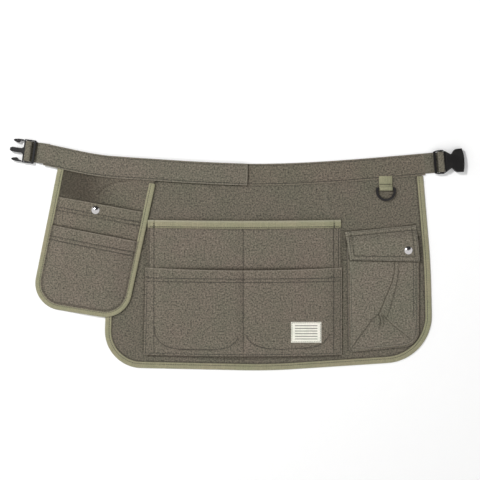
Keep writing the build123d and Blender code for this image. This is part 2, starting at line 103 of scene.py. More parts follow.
def smoothLine(points, step):
    # a natural cubic through the points: each one's second slope follows from its neighbours'
    points = np.asarray(points, float)
    reach = runLengths(points)
    gap = np.diff(reach)[:, None]
    inner = np.arange(1, len(points) - 1)
    system = np.eye(len(points))
    system[inner, inner - 1] = gap[:-1, 0]
    system[inner, inner] = 2 * (gap[:-1, 0] + gap[1:, 0])
    system[inner, inner + 1] = gap[1:, 0]
    turn = np.zeros_like(points)
    turn[1:-1] = 6 * np.diff(np.diff(points, axis=0) / gap, axis=0)
    second = np.linalg.solve(system, turn)
    at = np.linspace(0, reach[-1], round(reach[-1]) + 1)
    i = np.clip(np.searchsorted(reach, at, side="right") - 1, 0, len(points) - 2)
    h = gap[i]
    past = (at - reach[i])[:, None]
    left = h - past
    curve = (second[i] * left**3 + second[i + 1] * past**3) / (6 * h)
    curve += (points[i] / h - second[i] * h / 6) * left
    curve += (points[i + 1] / h - second[i + 1] * h / 6) * past
    return resample(curve, step)


def roundedPath(points, radii, step):
    # straight runs joined by arcs: an arc touches both runs at radius / tan(half the corner) from it
    points = np.asarray(points, float)
    runs = [points[:1]]
    for before, corner, after, radius in zip(points[:-2], points[1:-1], points[2:], radii):
        back = (before - corner) / np.linalg.norm(before - corner)
        onward = (after - corner) / np.linalg.norm(after - corner)
        half = math.acos(float(back @ onward)) / 2
        middle = (back + onward) / np.linalg.norm(back + onward)
        centre = corner + middle * radius / math.sin(half)
        first = corner + back * radius / math.tan(half) - centre
        last = corner + onward * radius / math.tan(half) - centre
        turned = math.pi - 2 * half
        t = np.linspace(0, 1, 24)[:, None]
        arc = (np.sin((1 - t) * turned) * first + np.sin(t * turned) * last) / math.sin(turned)
        runs.append(centre + arc)
    runs.append(points[-1:])
    return resample(np.vstack(runs), step)


def leftward(path):
    # unit vectors a quarter turn to the left of a path's direction
    run = np.gradient(path[:, :2], axis=0)
    run /= np.linalg.norm(run, axis=1, keepdims=True)
    return np.stack([-run[:, 1], run[:, 0]], axis=1)


def shifted(path, distance):
    # the path moved sideways to its left
    return path + leftward(path) * distance


def distanceTo(line, x, y):
    # how far each place is from the nearest point of a chain of straight runs
    line = np.asarray(line, float)
    best = np.full(np.shape(x), 1e9)
    for (ax, ay), (bx, by) in zip(line[:-1], line[1:]):
        dx, dy = bx - ax, by - ay
        t = np.clip(((x - ax) * dx + (y - ay) * dy) / (dx * dx + dy * dy), 0, 1)
        best = np.minimum(best, np.hypot(x - ax - t * dx, y - ay - t * dy))
    return best


def crease(line, x, y, width):
    # a bell-shaped ridge along a line: 1 on it, fading over the width
    return bell(distanceTo(line, x, y), width)


def ripple(x, y, seed, longest=150.0):
    # a gentle unevenness between -1 and 1: five plane waves of chosen lengths and directions
    dice = np.random.default_rng(seed)
    total = np.zeros(np.shape(x))
    for length in longest * np.array([1.0, 0.73, 0.52, 0.36, 0.25]):
        turn, start = dice.uniform(0, 2 * math.pi, 2)
        total += np.sin(2 * math.pi * (x * math.cos(turn) + y * math.sin(turn)) / length + start)
    return total / 5


def coons(top, bottom, left, right):
    # a grid spanned between four curves: the sum of both lofts less the corners' bilinear patch
    u = np.linspace(0, 1, len(top))[None, :, None]
    v = np.linspace(0, 1, len(left))[:, None, None]
    across = (1 - v) * top[None] + v * bottom[None]
    down = (1 - u) * left[:, None] + u * right[:, None]
    corners = (1 - v) * ((1 - u) * top[0] + u * top[-1]) + v * ((1 - u) * bottom[0] + u * bottom[-1])
    grid = across + down - corners
    return grid[..., 0], grid[..., 1]


def panelGrid(outline, top, corners, step):
    # a cloth grid inside an open outline: it is cut at the places nearest to its two low corners
    cuts = [int(np.argmin(np.hypot(*(outline - corner).T))) for corner in corners]
    left, right = outline[: cuts[0] + 1], outline[cuts[1] :][::-1]
    bottom = outline[cuts[0] : cuts[1] + 1]
    top = np.vstack([outline[:1], top, outline[-1:]])
    columns = round(abs(bottom[-1, 0] - bottom[0, 0]) / step) + 1
    rows = round(abs(top[:, 1].mean() - bottom[:, 1].mean()) / step) + 1
    return coons(fitted(top, columns), fitted(bottom, columns), fitted(left, rows), fitted(right, rows))


def ticks(start, end, step, fine=()):
    # places from start to end about a step apart, with closer ones beside each fine place
    even = np.linspace(start, end, max(2, round(abs(end - start) / step) + 1))
    near = np.add.outer(np.asarray(fine, float), [-2.2, -1.2, -0.5, 0.5, 1.2, 2.2]).ravel()
    near = near[(near > min(start, end)) & (near < max(start, end))]
    places = np.unique(np.round(np.concatenate([even, near]), 2))
    return places if start < end else places[::-1]


def slab(x, y, top, thickness, swell=0.35):
    # a closed cloth plate: its top grid, the same grid one thickness lower, and a rounded rim of two rings
    rows, columns = x.shape
    index = np.arange(rows * columns).reshape(rows, columns)
    loop = np.concatenate([index[:, 0], index[-1, 1:], index[-2::-1, -1], index[0, -2:0:-1]])
    upper = np.stack([x, y, top], axis=-1).reshape(-1, 3)
    deep = np.broadcast_to(thickness, x.shape).reshape(-1, 1) * [0, 0, 1]
    run = np.roll(upper[loop], -1, axis=0) - np.roll(upper[loop], 1, axis=0)
    outward = np.stack([run[:, 1], -run[:, 0], 0 * run[:, 0]], axis=1)
    outward *= swell * deep[loop, 2:] / np.linalg.norm(outward, axis=1, keepdims=True)
    rings = [upper[loop] + outward - deep[loop] * share for share in (0.25, 0.75)]
    points = np.concatenate([upper, upper - deep, *rings])
    first = np.arange(len(loop)) + 2 * index.size
    cloth = np.stack([index[:-1, :-1], index[1:, :-1], index[1:, 1:], index[:-1, 1:]], axis=-1)
    cloth = cloth.reshape(-1, 4)
    walls = [
        np.stack([high, low, np.roll(low, -1), np.roll(high, -1)], axis=1)
        for high, low in ((loop, first), (first, first + len(loop)), (first + len(loop), loop + index.size))
    ]
    faces = np.concatenate([cloth, cloth[:, ::-1] + index.size, *walls])
    source = np.concatenate([index.ravel(), index.ravel(), loop, loop])
    cut = np.stack([x.ravel(), y.ravel()], axis=1)[source]
    front = np.repeat([1.0, 0.0, 1.0], [index.size, index.size, 2 * len(loop)])
    return {"points": points, "faces": faces, "cut": cut[faces], "source": source, "front": front}


def skin(rings):
    # a tube through closed rings, its two ends closed by strips from side to side
    count, size = rings.shape[:2]
    index = np.arange(count * size).reshape(count, size)
    onward = np.roll(index, -1, axis=1)
    side = np.stack([index[:-1], index[1:], onward[1:], onward[:-1]], axis=-1).reshape(-1, 4)
    k = np.arange(size // 2 - 1)
    lid = np.stack([k, k + 1, size - 2 - k, size - 1 - k], axis=1)
    faces = np.concatenate([side, lid, lid[:, ::-1] + (count - 1) * size])
    steps = np.linalg.norm(np.diff(rings.mean(axis=1), axis=0), axis=1)
    along = np.concatenate([[0], np.cumsum(steps)])
    girth = np.linalg.norm(np.roll(rings, -1, axis=1) - rings, axis=2).mean(axis=0)
    around = np.concatenate([[0], np.cumsum(girth)])
    i, j = np.divmod(side[:, 0], size)
    cut = np.stack(
        [
            np.stack([along[i], around[j]], axis=1),
            np.stack([along[i + 1], around[j]], axis=1),
            np.stack([along[i + 1], around[j + 1]], axis=1),
            np.stack([along[i], around[j + 1]], axis=1),
        ],
        axis=1,
    )
    flat = rings.reshape(-1, 3)
    ends = flat[faces[len(side) :]][..., :2]
    return {
        "points": flat, "faces": faces, "cut": np.concatenate([cut, ends]), "source": np.arange(len(flat))
    }


def sweep(path, profile, lift=0.0):
    # a closed profile, as inward distance and height, carried along a flat path
    profile = np.asarray(profile, float)
    flat = path[:, None, :2] + leftward(path)[:, None] * profile[None, :, :1]
    high = np.broadcast_to(profile[None, :, 1:], (len(path), len(profile), 1)) + lift * np.ones((1, 1, 1))
    return skin(np.concatenate([flat, high], axis=2))


def ribbon(path, across, width, thickness):
    # a flat webbing: a thin rounded section carried along a path in space, always level across
    path = np.asarray(path, float)
    run = np.gradient(path, axis=0)
    run /= np.linalg.norm(run, axis=1, keepdims=True)
    face = np.cross(run, across)
    low = [(-0.5, 0), (-0.48, -0.5), (0, -0.56), (0.48, -0.5)]
    section = np.array(low + [(-out, -up) for out, up in low])
    wide = section[None, :, :1] * width * np.asarray(across)
    return skin(path[:, None] + wide + section[None, :, 1:] * thickness * face[:, None])


def addPiece(name, shape, finish, body=None, stoodFor=(), masks=None):
    # puts a closed shape into the scene; a negative volume means that its faces are turned round
    points, faces, cut = shape["points"] * mm, shape["faces"], shape["cut"] * mm
    corner = points[faces]
    volume = (corner[:, 0] * np.cross(corner[:, 1], corner[:, 2])).sum()
    volume += (corner[:, 0] * np.cross(corner[:, 2], corner[:, 3])).sum()
    if volume < 0:
        faces, cut = faces[:, ::-1], cut[:, ::-1]
    mesh = bpy.data.meshes.new(name)
    mesh.from_pydata(points.tolist(), [], faces.tolist())
    mesh.polygons.foreach_set("use_smooth", np.ones(len(faces), bool))
    mesh.uv_layers.new(name="cut").data.foreach_set("uv", cut.astype(np.float32).ravel())
    for mask, values in (masks or {}).items():
        layer = mesh.attributes.new(mask, "FLOAT", "POINT")
        values = values.ravel()[shape["source"]] * shape.get("front", 1.0)
        layer.data.foreach_set("value", values.astype(np.float32))
    mesh.materials.append(finish)
    piece = bpy.data.objects.new(name, mesh)
    bpy.context.scene.collection.objects.link(piece)
    if body:
        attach(piece, body)
    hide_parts(*stoodFor)
    return piece


stitch = {"pitch": 3.4, "length": 2.95, "radius": 0.52}


def stitches(rows):
    # rows of small grains, one a pitch, each four square rings along its row
    ring = np.array([(0, 1), (1, 0), (0, -1), (-1, 0)])
    ends = np.array([-0.5, -0.26, 0.26, 0.5]) * stitch["length"]
    girths = np.array([0.25, 1, 1, 0.25]) * stitch["radius"]
    template = np.array([(x, s * g, u * g) for x, g in zip(ends, girths) for s, u in ring])
    grain = skin(template.reshape(4, 4, 3))
    middles, runs = [], []
    for row in rows:
        row = resample(row, stitch["pitch"] / 2)
        run = np.gradient(row, axis=0)
        middles.append(row[1:-1:2])
        runs.append((run / np.linalg.norm(run, axis=1, keepdims=True))[1:-1:2])
    middle, run = np.concatenate(middles), np.concatenate(runs)
    side = np.cross([0, 0, 1], run)
    side /= np.linalg.norm(side, axis=1, keepdims=True)
    frameOf = np.stack([run, side, np.cross(run, side)], axis=1)
    points = (middle[:, None] + template @ frameOf).reshape(-1, 3)
    faces = (grain["faces"][None] + 16 * np.arange(len(middle))[:, None, None]).reshape(-1, 4)
    cut = np.tile(grain["cut"], (len(middle), 1, 1))
    return {"points": points, "faces": faces, "cut": cut, "source": np.arange(len(points))}


def onCloth(line, height):
    # a flat line laid on a cloth whose height is a function of place
    line = resample(line, 1.5)
    return np.column_stack([line, height(line[:, 0], line[:, 1])])


def filled(tree, node, sockets):
    # a socket is named, or i and its number, and takes a value or a link
    for key, value in sockets.items():
        place = int(key[1:]) if key[0] == "i" and key[1:].isdigit() else key.replace("_", " ")
        if isinstance(value, bpy.types.NodeSocket):
            tree.links.new(value, node.inputs[place])
        else:
            node.inputs[place].default_value = value
    return node


def add(tree, kind, settings=None, **sockets):
    # a node with its settings and its sockets filled
    node = tree.nodes.new("ShaderNode" + kind)
    for key, value in (settings or {}).items():
        setattr(node, key, value)
    return filled(tree, node, sockets)


def calc(tree, operation, a, b):
    # one step of arithmetic
    return add(tree, "Math", {"operation": operation}, i0=a, i1=b).outputs[0]


def plus(tree, a, b):
    return calc(tree, "ADD", a, b)


def less(tree, a, b):
    return calc(tree, "SUBTRACT", a, b)


def times(tree, a, b):
    return calc(tree, "MULTIPLY", a, b)


def mixed(tree, share, a, b, how="MIX"):
    # one colour into another
    return add(tree, "Mix", {"data_type": "RGBA", "blend_type": how}, i0=share, i6=a, i7=b).outputs[2]


def scaled(tree, vector, by):
    # a vector times a number or times another vector
    return add(tree, "VectorMath", {"operation": "MULTIPLY"}, i0=vector, i1=by).outputs[0]


def newGroup(name, inputs, outputs):
    # an empty node group with its sockets
    tree = bpy.data.node_groups.new(name, "ShaderNodeTree")
    for socketName, kind in inputs:
        tree.interface.new_socket(socketName, in_out="INPUT", socket_type="NodeSocket" + kind)
    for socketName, kind in outputs:
        tree.interface.new_socket(socketName, in_out="OUTPUT", socket_type="NodeSocket" + kind)
    return tree, tree.nodes.new("NodeGroupInput").outputs, tree.nodes.new("NodeGroupOutput").inputs


def placed(tree, group, **sockets):
    # a node group placed in a material
    node = tree.nodes.new("ShaderNodeGroup")
    node.node_tree = group
    return filled(tree, node, sockets).outputs


def clothWeave():
    # a heathered twill: diagonal ribs, flecks of lighter and darker yarn, and faint slubs both ways
    inputs = [("Place", "Vector"), ("Base", "Color"), ("Heather", "Float"), ("Ribs", "Float")]
    tree, given, made = newGroup("clothWeave", inputs, [("Color", "Color"), ("Height", "Float")])
    place = given["Place"]
    rib = add(
        tree,
        "TexWave",
        {"wave_type": "BANDS", "bands_direction": "DIAGONAL"},
        Vector=place,
        Scale=400.0,
        Distortion=0.6,
        Detail=1.0,
        Detail_Scale=2.0,
    ).outputs[1]
    fleck = add(tree, "TexNoise", Vector=place, Scale=400.0, Detail=3.0, Roughness=0.8).outputs[0]
    mottle = add(tree, "TexNoise", Vector=place, Scale=320.0, Detail=1.0, Roughness=0.5).outputs[0]
    acrossSlub = add(
        tree, "TexNoise", Vector=scaled(tree, place, (60.0, 900.0, 1.0)), Scale=1.0, Detail=2.0
    ).outputs[0]
    downSlub = add(
        tree, "TexNoise", Vector=scaled(tree, place, (900.0, 45.0, 1.0)), Scale=1.0, Detail=2.0
    ).outputs[0]
    cloud = add(tree, "TexNoise", Vector=place, Scale=22.0, Detail=3.0, Roughness=0.6).outputs[0]
    slubs = less(tree, plus(tree, acrossSlub, downSlub), 1.0)
    yarns = less(tree, plus(tree, fleck, times(tree, mottle, 0.9)), 0.95)
    flecks = times(tree, yarns, given["Heather"])
    ribs = times(tree, less(tree, rib, 0.5), given["Ribs"])
    tone = plus(tree, plus(tree, times(tree, slubs, 0.45), flecks), ribs)
    tone = plus(tree, tone, times(tree, less(tree, cloud, 0.5), 0.16))
    factor = calc(tree, "MAXIMUM", plus(tree, tone, 1.0), 0.1)
    bright = add(tree, "CombineXYZ", X=factor, Y=factor, Z=factor).outputs[0]
    patch = add(tree, "TexNoise", Vector=place, Scale=11.0, Detail=4.0, Roughness=0.65).outputs[0]
    patchy = add(
        tree,
        "MapRange",
        {"data_type": "FLOAT_VECTOR"},
        i6=patch,
        i7=(0.36, 0.36, 0.36),
        i8=(0.64, 0.64, 0.64),
        i9=(0.955, 1.0, 0.975),
        i10=(1.045, 1.0, 1.025),
    ).outputs[1]
    tree.links.new(scaled(tree, scaled(tree, given["Base"], bright), patchy), made["Color"])
    relief = plus(tree, times(tree, rib, 0.55), times(tree, fleck, 0.6))
    tree.links.new(plus(tree, relief, times(tree, slubs, 0.5)), made["Height"])
    return tree


def paintedLightAndWear():
    # edges go light with wear, and painted highlights go light on ridges and mouth edges; painted shade
    # darkens seams, creases and the cloth around and under other parts; both broken up by noise, from the
    # masks on the mesh
    inputs = [
        ("Place", "Vector"), ("Cloth", "Color"), ("Rubbed", "Color"), ("Wear", "Float"), ("Shade", "Float")
    ]
    tree, given, made = newGroup("paintedLightAndWear", inputs, [("Color", "Color")])
    broken = add(tree, "TexNoise", Vector=given["Place"], Scale=300.0, Detail=3.0).outputs[0]
    uneven = plus(tree, times(tree, broken, 1.3), 0.25)
    rubbed = mixed(tree, times(tree, given["Wear"], uneven), given["Cloth"], given["Rubbed"])
    # painted shade: the colour multiplied by a dark brown, mixed in by the shade mask
    dark = mixed(tree, 1.0, rubbed, (0.3, 0.28, 0.24, 1.0), "MULTIPLY")
    tree.links.new(mixed(tree, given["Shade"], rubbed, dark), made["Color"])
    return tree


weaveGroup = clothWeave()
wearAndPaintedLightGroup = paintedLightAndWear()


def newFinish(name, **shader):
    # a material with its principled shader's constants set
    finish = bpy.data.materials.new(name)
    finish.use_nodes = True
    for key, value in shader.items():
        finish.node_tree.nodes["Principled BSDF"].inputs[key.replace("_", " ")].default_value = value
    return finish, finish.node_tree, finish.node_tree.nodes["Principled BSDF"].inputs


def raised(tree, shader, height, depth):
    # a bump of a real depth in millimetres
    bump = add(tree, "Bump", Height=height, Distance=depth * mm, Strength=1.0)
    tree.links.new(bump.outputs[0], shader["Normal"])


def maskOf(tree, name):
    # a mask stored on the mesh
    return add(tree, "Attribute", {"attribute_name": name}).outputs["Fac"]


def cutPlace(tree):
    # the place on the cloth's own flat cut
    return add(tree, "UVMap", {"uv_map": "cut"}).outputs[0]


def withWearAndPaintedLight(tree, shader, place, cloth, rubbed):
    # the cloth's colour with its wear, painted highlights and painted shade, as the shader's colour
    masks = {mask.capitalize(): maskOf(tree, mask) for mask in ("wear", "shade")}
    worn = placed(tree, wearAndPaintedLightGroup, Place=place, Cloth=cloth, Rubbed=(*rubbed, 1.0), **masks)
    tree.links.new(worn["Color"], shader["Base Color"])


def canvasFinish(name, colour):
    # washed cotton canvas
    finish, tree, shader = newFinish(name, Roughness=0.92, Sheen_Weight=0.12, Sheen_Roughness=0.5)
    place = cutPlace(tree)
    weave = placed(tree, weaveGroup, Place=place, Base=(*colour, 1.0), Heather=2.3, Ribs=0.2)
    rubbed = tuple(min(1.0, 1.9 * c + 0.03) for c in colour)
    withWearAndPaintedLight(tree, shader, place, weave["Color"], rubbed)
    raised(tree, shader, weave["Height"], 0.25)
    return finish


def tapeFinish(name, colour):
    # a herringbone tape: fine ribs across it, yarn flecks, and lighter edges
    finish, tree, shader = newFinish(name, Roughness=0.85, Sheen_Weight=0.1)
    place = cutPlace(tree)
    weave = placed(tree, weaveGroup, Place=place, Base=(*colour, 1.0), Heather=0.5, Ribs=0.1)
    ribs = add(
        tree,
        "TexWave",
        {"bands_direction": "X"},
        Vector=place,
        Scale=0.314 / (2.2 * mm),
        Distortion=1.2,
        Detail=2.0,
        Detail_Scale=3.0,
    ).outputs[1]
    dark = mixed(
        tree,
        times(tree, less(tree, 1.0, ribs), 0.3),
        weave["Color"],
        (0.1, 0.095, 0.07, 1.0),
    )
    withWearAndPaintedLight(tree, shader, place, dark, (0.45, 0.43, 0.35))
    raised(tree, shader, plus(tree, ribs, weave["Height"]), 0.22)
    return finish


def threadFinish(name, colour):
    # sewing thread, with its twist
    finish, tree, shader = newFinish(name, Roughness=0.7, Sheen_Weight=0.1)
    place = cutPlace(tree)
    twist = add(tree, "TexWave", {"bands_direction": "DIAGONAL"}, Vector=place, Scale=900.0).outputs[1]
    tone = mixed(tree, twist, tuple(0.6 * c for c in colour) + (1.0,), (*colour, 1.0))
    tree.links.new(tone, shader["Base Color"])
    raised(tree, shader, twist, 0.1)
    return finish


def moulded(name, colour, roughness, gleam):
    # injection-moulded plastic: a fine spark-eroded grain and small changes of gloss
    finish, tree, shader = newFinish(name, Specular_IOR_Level=gleam)
    place = add(tree, "TexCoord").outputs["Object"]
    fine = add(tree, "TexNoise", Vector=place, Scale=900.0, Detail=2.0).outputs[0]
    cloud = add(tree, "TexNoise", Vector=place, Scale=60.0, Detail=2.0).outputs[0]
    scuffed = mixed(
        tree,
        times(tree, calc(tree, "MAXIMUM", less(tree, cloud, 0.55), 0.0), 0.6),
        (*colour, 1.0),
        (0.07, 0.065, 0.06, 1.0),
    )
    tree.links.new(scuffed, shader["Base Color"])
    gloss = plus(tree, times(tree, cloud, 0.2), roughness - 0.1)
    tree.links.new(gloss, shader["Roughness"])
    raised(tree, shader, fine, 0.03)
    return finish


def polished(name, colour, roughness):
    # nickel-plated steel with hairline scratches
    finish, tree, shader = newFinish(name, Metallic=1.0, Base_Color=(*colour, 1.0))
    place = add(tree, "TexCoord").outputs["Object"]
    hair = add(
        tree, "TexNoise", Vector=scaled(tree, place, (900.0, 3000.0, 900.0)), Scale=1.0, Detail=3.0
    ).outputs[0]
    gloss = plus(tree, times(tree, hair, 0.15), roughness)
    tree.links.new(gloss, shader["Roughness"])
    raised(tree, shader, hair, 0.01)
    return finish


def fuzzy(name, colour, scale):
    # hook or loop tape: a dense pile
    finish, tree, shader = newFinish(name, Roughness=1.0, Sheen_Weight=0.4)
    place = cutPlace(tree)
    pile = add(tree, "TexVoronoi", Vector=place, Scale=scale, Randomness=0.7).outputs[0]
    tone = mixed(tree, pile, (*colour, 1.0), tuple(0.3 * c for c in colour) + (1.0,))
    tree.links.new(tone, shader["Base Color"])
    raised(tree, shader, less(tree, 1.0, pile), 0.5)
    return finish


def labelFinish(name):
    # a cream woven label with plain dark bars
    finish, tree, shader = newFinish(name, Roughness=0.7)
    place = cutPlace(tree)
    weave = placed(tree, weaveGroup, Place=place, Base=(0.84, 0.82, 0.72, 1.0), Heather=0.16, Ribs=0.06)
    inked = mixed(tree, maskOf(tree, "ink"), weave["Color"], (0.02, 0.02, 0.018, 1.0))
    withWearAndPaintedLight(tree, shader, place, inked, (0.8, 0.78, 0.7))
    raised(tree, shader, weave["Height"], 0.12)
    return finish


canvasColours = {
    "body": (0.125, 0.110, 0.081),
    "pocket": (0.144, 0.124, 0.093),
    "pouch": (0.138, 0.120, 0.088),
    "flap": (0.155, 0.139, 0.104),
    "bandLeft": (0.137, 0.122, 0.091),
    "bandRight": (0.132, 0.113, 0.083),
}
canvas = {}
for part, colour in canvasColours.items():
    canvas[part] = canvasFinish("canvas" + part[0].upper() + part[1:], colour)
sageTape = tapeFinish("sageTape", (0.310, 0.292, 0.180))
# near-black thread: painted shade of the sewn grooves, darker than the olive thread itself
paintedShadeThread = threadFinish("paintedShadeThread", (0.020, 0.018, 0.012))
paleThread = threadFinish("paleThread", (0.24, 0.23, 0.17))
blackPlastic = moulded("blackPlastic", (0.005, 0.0042, 0.0042), 0.42, 0.28)
mattPlastic = moulded("mattPlastic", (0.010, 0.0085, 0.0085), 0.55, 0.35)
nickel = polished("nickel", (0.60, 0.58, 0.58), 0.1)
loopPile = fuzzy("loopPile", (0.07, 0.064, 0.048), 900.0)
hookPile = fuzzy("hookPile", (0.045, 0.042, 0.034), 700.0)
wovenLabel = labelFinish("wovenLabel")
print("finishes made")


band = {"width": 40.0, "crown": 0.5, "edgeDrop": 0.45, "seam": 17.2, "step": 3.0, "sink": 0.3}
bandFold = {"lift": 0.35, "length": 90.0, "atSeam": 0.26}
# the two halves of the waistband
waistLeft = [(-362, 189.2), (-325, 181.2), (-261.4, 168.8), (-183.5, 162.2), (-86.6, 156.0), (20, 151.4)]
waistRight = [(-242, 166.6), (-86.6, 156.0), (24, 151.4), (176.5, 156.4), (356, 171.0)]
leftLine = smoothLine(waistLeft, band["step"])
rightLine = smoothLine(waistRight, band["step"])


def bandHeight(across):
    # a folded strip over its middle level: a flat crown that falls off at both edges, with two sewn grooves
    side = np.abs(across) / (band["width"] / 2)
    groove = bell(np.abs(across) - band["seam"], 1.0)
    return band["crown"] * (1 - side**4) - band["edgeDrop"] * side**8 - 0.25 * groove


def waistband(name, line, node, finish, body, seed):
    # the strip's grid runs down across its width and along its line
    level = edges(node)
    reach = band["width"] / 2
    across = ticks(reach, -reach, 4.0, (band["seam"], -band["seam"]))
    spot = line[None] + leftward(line)[None] * across[:, None, None]
    x, y = spot[..., 0], spot[..., 1]
    fold = bandFold["lift"] * ripple(x, y, seed, bandFold["length"]) * (1 - (across[:, None] / reach) ** 2)
    top = level["top"] - band["sink"] + bandHeight(across)[:, None] + fold
    ends = np.arange(len(line))[None, ::-1] * band["step"]
    # edges and ends lighter with wear; painted shade along the lower sewn groove
    wear = bell(reach - np.abs(across), 0.9)[:, None] * 0.3 + 0.35 * bell(ends, 2.5)
    shade = 0.4 * bell(across + band["seam"], 1.0)[:, None] + 0 * x
    shape = slab(x, y, top, top - level["low"] - 0.05)
    addPiece(name, shape, finish, body, [node], {"wear": wear, "shade": shade})
    rows = []
    for side in (-band["seam"], band["seam"]):
        flat = shifted(line, side)[1:-1]
        lift = level["top"] - band["sink"] + bandHeight(np.array([side]))[0]
        fold = bandFold["lift"] * ripple(*flat.T, seed, bandFold["length"]) * bandFold["atSeam"]
        rows.append(np.column_stack([flat, lift + fold]))
    return rows


rightBandRows = waistband(
    "rightBand", rightLine, "main_waistband", canvas["bandRight"], "apron", 3
)
leftBandRows = waistband("leftBand", leftLine, "left_waistband", canvas["bandLeft"], "pouch", 4)
print("waistbands sewn")


# plan outlines of the cargo pocket, its flap and the pouch
hinge, hingeAxis = joint("flap_lift")
flapAlong = -hingeAxis
flapAcross = np.array([-flapAlong[1], flapAlong[0], 0])
cargo = {"edge": 2.2, "slope": 9.0, "mouth": 18.0, "foot": 3.0, "rise": 9.5, "corners": (7.0, 30.0)}
flapLook = {
    "half": 65.0,
    "dropLeft": 43.4,
    "dropRight": 58.4,
    "flare": 3.8,
    "bend": 12.0,
    "seamTop": 9.4,
    "thickness": 1.7,
}
cargoBox = edges("cargo_pocket")


def onFlap(along, across):
    # a plan place from distances along the hinge and across it
    return hinge[:2] + np.multiply.outer(along, flapAlong[:2]) + np.multiply.outer(across, flapAcross[:2])


mouthEnds = onFlap(np.array([-flapLook["half"], flapLook["half"]]), np.array([-cargo["mouth"]] * 2))
cargoCorners = [
    (cargoBox["left"], mouthEnds[0, 1]),
    (cargoBox["left"] + 2.6, cargoBox["near"] - cargo["foot"]),
    (cargoBox["right"], cargoBox["near"] + cargo["rise"]),
    (cargoBox["right"], mouthEnds[1, 1]),
]
cargoOutline = roundedPath(cargoCorners, cargo["corners"], 1.0)
flapOutline = [
    onFlap(along, across)
    for along, across in (
        (66, 10.4), (-69.8, 10.4), (-66, -43.4), (-65, -44.0), (65, -59.0), (66, -58.4), (66, 10.4)
    )
]
pouch = edges("pouch_binding")
pouchCorners = [
    (pouch["left"] + 45.5, 176.0),
    (pouch["left"] - 9.5, pouch["near"] + 22.3),
    (pouch["right"] - 54.1, pouch["near"] - 7.2),
    (pouch["right"] + 4.2, 145.0),
]
pouchEdge = roundedPath(pouchCorners, (51.0, 51.0), 3.0)


apron = edges("main_binding")
apronCorners = [
    (apron["left"] + 12.1, 162.0),
    (apron["left"] - 2.4, apron["near"] + 5.9),
    (60.0, apron["near"] - 0.85),
    (apron["right"] + 1.76, apron["near"] + 19.4),
    (apron["right"] - 2.24, -20.0),
    (apron["right"] - 18.24, 170.0),
]
apronRadii = (70.0, 1200.0, 90.0, 1500.0)
apronEdge = roundedPath(apronCorners, apronRadii, 3.0)
panelLook = {"level": edges("main_panel")["top"], "cloth": 1.2, "tuck": 14.0, "seamIn": 3.0}
pocketBox = edges("upper_pocket")
folds = [
    ([(-62, 132), (-40, 112), (-30, 88)], 9.0, 1.7),
    ([(20, 128), (2, 104), (-4, 78)], 8.0, -0.9),
    ([(66, 130), (60, 100)], 12.0, 1.1),
    ([(172, 138), (169, 108), (176.5, 72)], 2.6, 1.9),
    ([(120, 134), (160, 120), (230, 122)], 10.0, 0.5),
    ([(-150, 90), (-120, 112), (-92, 120)], 8.0, 0.7),
]


def panelHeight(x, y):
    # level cloth with a few soft ridges where nothing lies on it, and a faint unevenness
    waist = np.interp(x, *shifted(rightLine, -20).T)
    bare = ease((y - pocketBox["far"] - 2) / 14)
    bare = np.maximum(bare, ease((x - pocketBox["right"] - 2) / 10)) * ease((x + 165) / 25)
    ridges = sum(lift * crease(line, x, y, width) for line, width, lift in folds)
    soft = ridges + 0.25 * ripple(x, y, 7) + 0.2
    return panelLook["level"] - 0.15 + bare * soft * ease((waist - y + 1) / 9)


def clipped(path, above):
    # the part of an outline under a line given as a function of place
    return path[path[:, 1] < above(path[:, 0])]


waistUnder = shifted(rightLine, -panelLook["tuck"])
panelPath = clipped(shifted(apronEdge, panelLook["seamIn"]), lambda x: np.interp(x, *waistUnder.T))
panelX, panelY = panelGrid(panelPath, waistUnder[2:-2], (apronCorners[1], apronCorners[3]), 3.0)
mainPanel = addPiece(
    "mainPanel",
    slab(panelX, panelY, panelHeight(panelX, panelY), panelLook["cloth"] - 0.1),
    canvas["body"],
    "apron",
    ["main_panel"],
    # a painted highlight along one fold ridge; painted shade: contact shadows along the binding's inner edge,
    # the waistband's lower edge, the pocket mouth, the cargo pocket, the flap and the pouch, and round the
    # pockets
    {
        "wear": 0.3 * crease(folds[3][0], panelX, panelY, 1.6),
        "shade": 0.7 * crease(shifted(apronEdge, 12.8)[::3], panelX, panelY, 1.7)
        + 0.5 * crease(shifted(rightLine, -20.8)[::3], panelX, panelY, 1.8)
        + 0.6 * crease(
            [(pocketBox["left"], 64.5), (14, 62.5), (pocketBox["right"], 64.5)], panelX, panelY, 2.2
        )
        + 1.0 * crease(shifted(cargoOutline, -0.8)[::4], panelX, panelY, 1.7)
        + 1.0 * crease(flapOutline, panelX, panelY, 1.6)
        + 0.5 * crease(shifted(pouchEdge, -1.5)[::4], panelX, panelY, 2.2)
        + 0.6 * crease(
            [
                (pocketBox["left"] - 2, 50),
                (pocketBox["left"] - 5, -190),
                (10, -199),
                (196, -193),
                (202, 50),
            ],
            panelX,
            panelY,
            1.8,
        ),
    },
)

# binding tape folded over the edge: a soft flat hump, closed underneath
bindingProfile = [
    (8, 0.1), (11.4, 0.25), (12, 1.9), (11.5, 2.5), (10.6, 2.8), (8.6, 2.75), (8, 2.55), (7.4, 2.8),
    (5, 3.05), (2.5, 2.95), (0.9, 2.45), (0, 1.4), (0.9, 0.4), (2.5, 0.05),
]


def binding(name, path, node, body):
    # the folded tape carried round the outline, with its sewn line a third in from the inner edge
    lift = edges(node)["low"]
    addPiece(name, sweep(path, bindingProfile, lift), sageTape, body, [node])
    row = shifted(path, 8.0)
    return np.column_stack([row, np.full(len(row), lift + 2.62)])


apronTapePath = clipped(apronEdge, lambda x: np.interp(x, *shifted(rightLine, -19.6).T))
mainBindingRow = binding("mainBinding", apronTapePath, "main_binding", "apron")
print("apron bound")


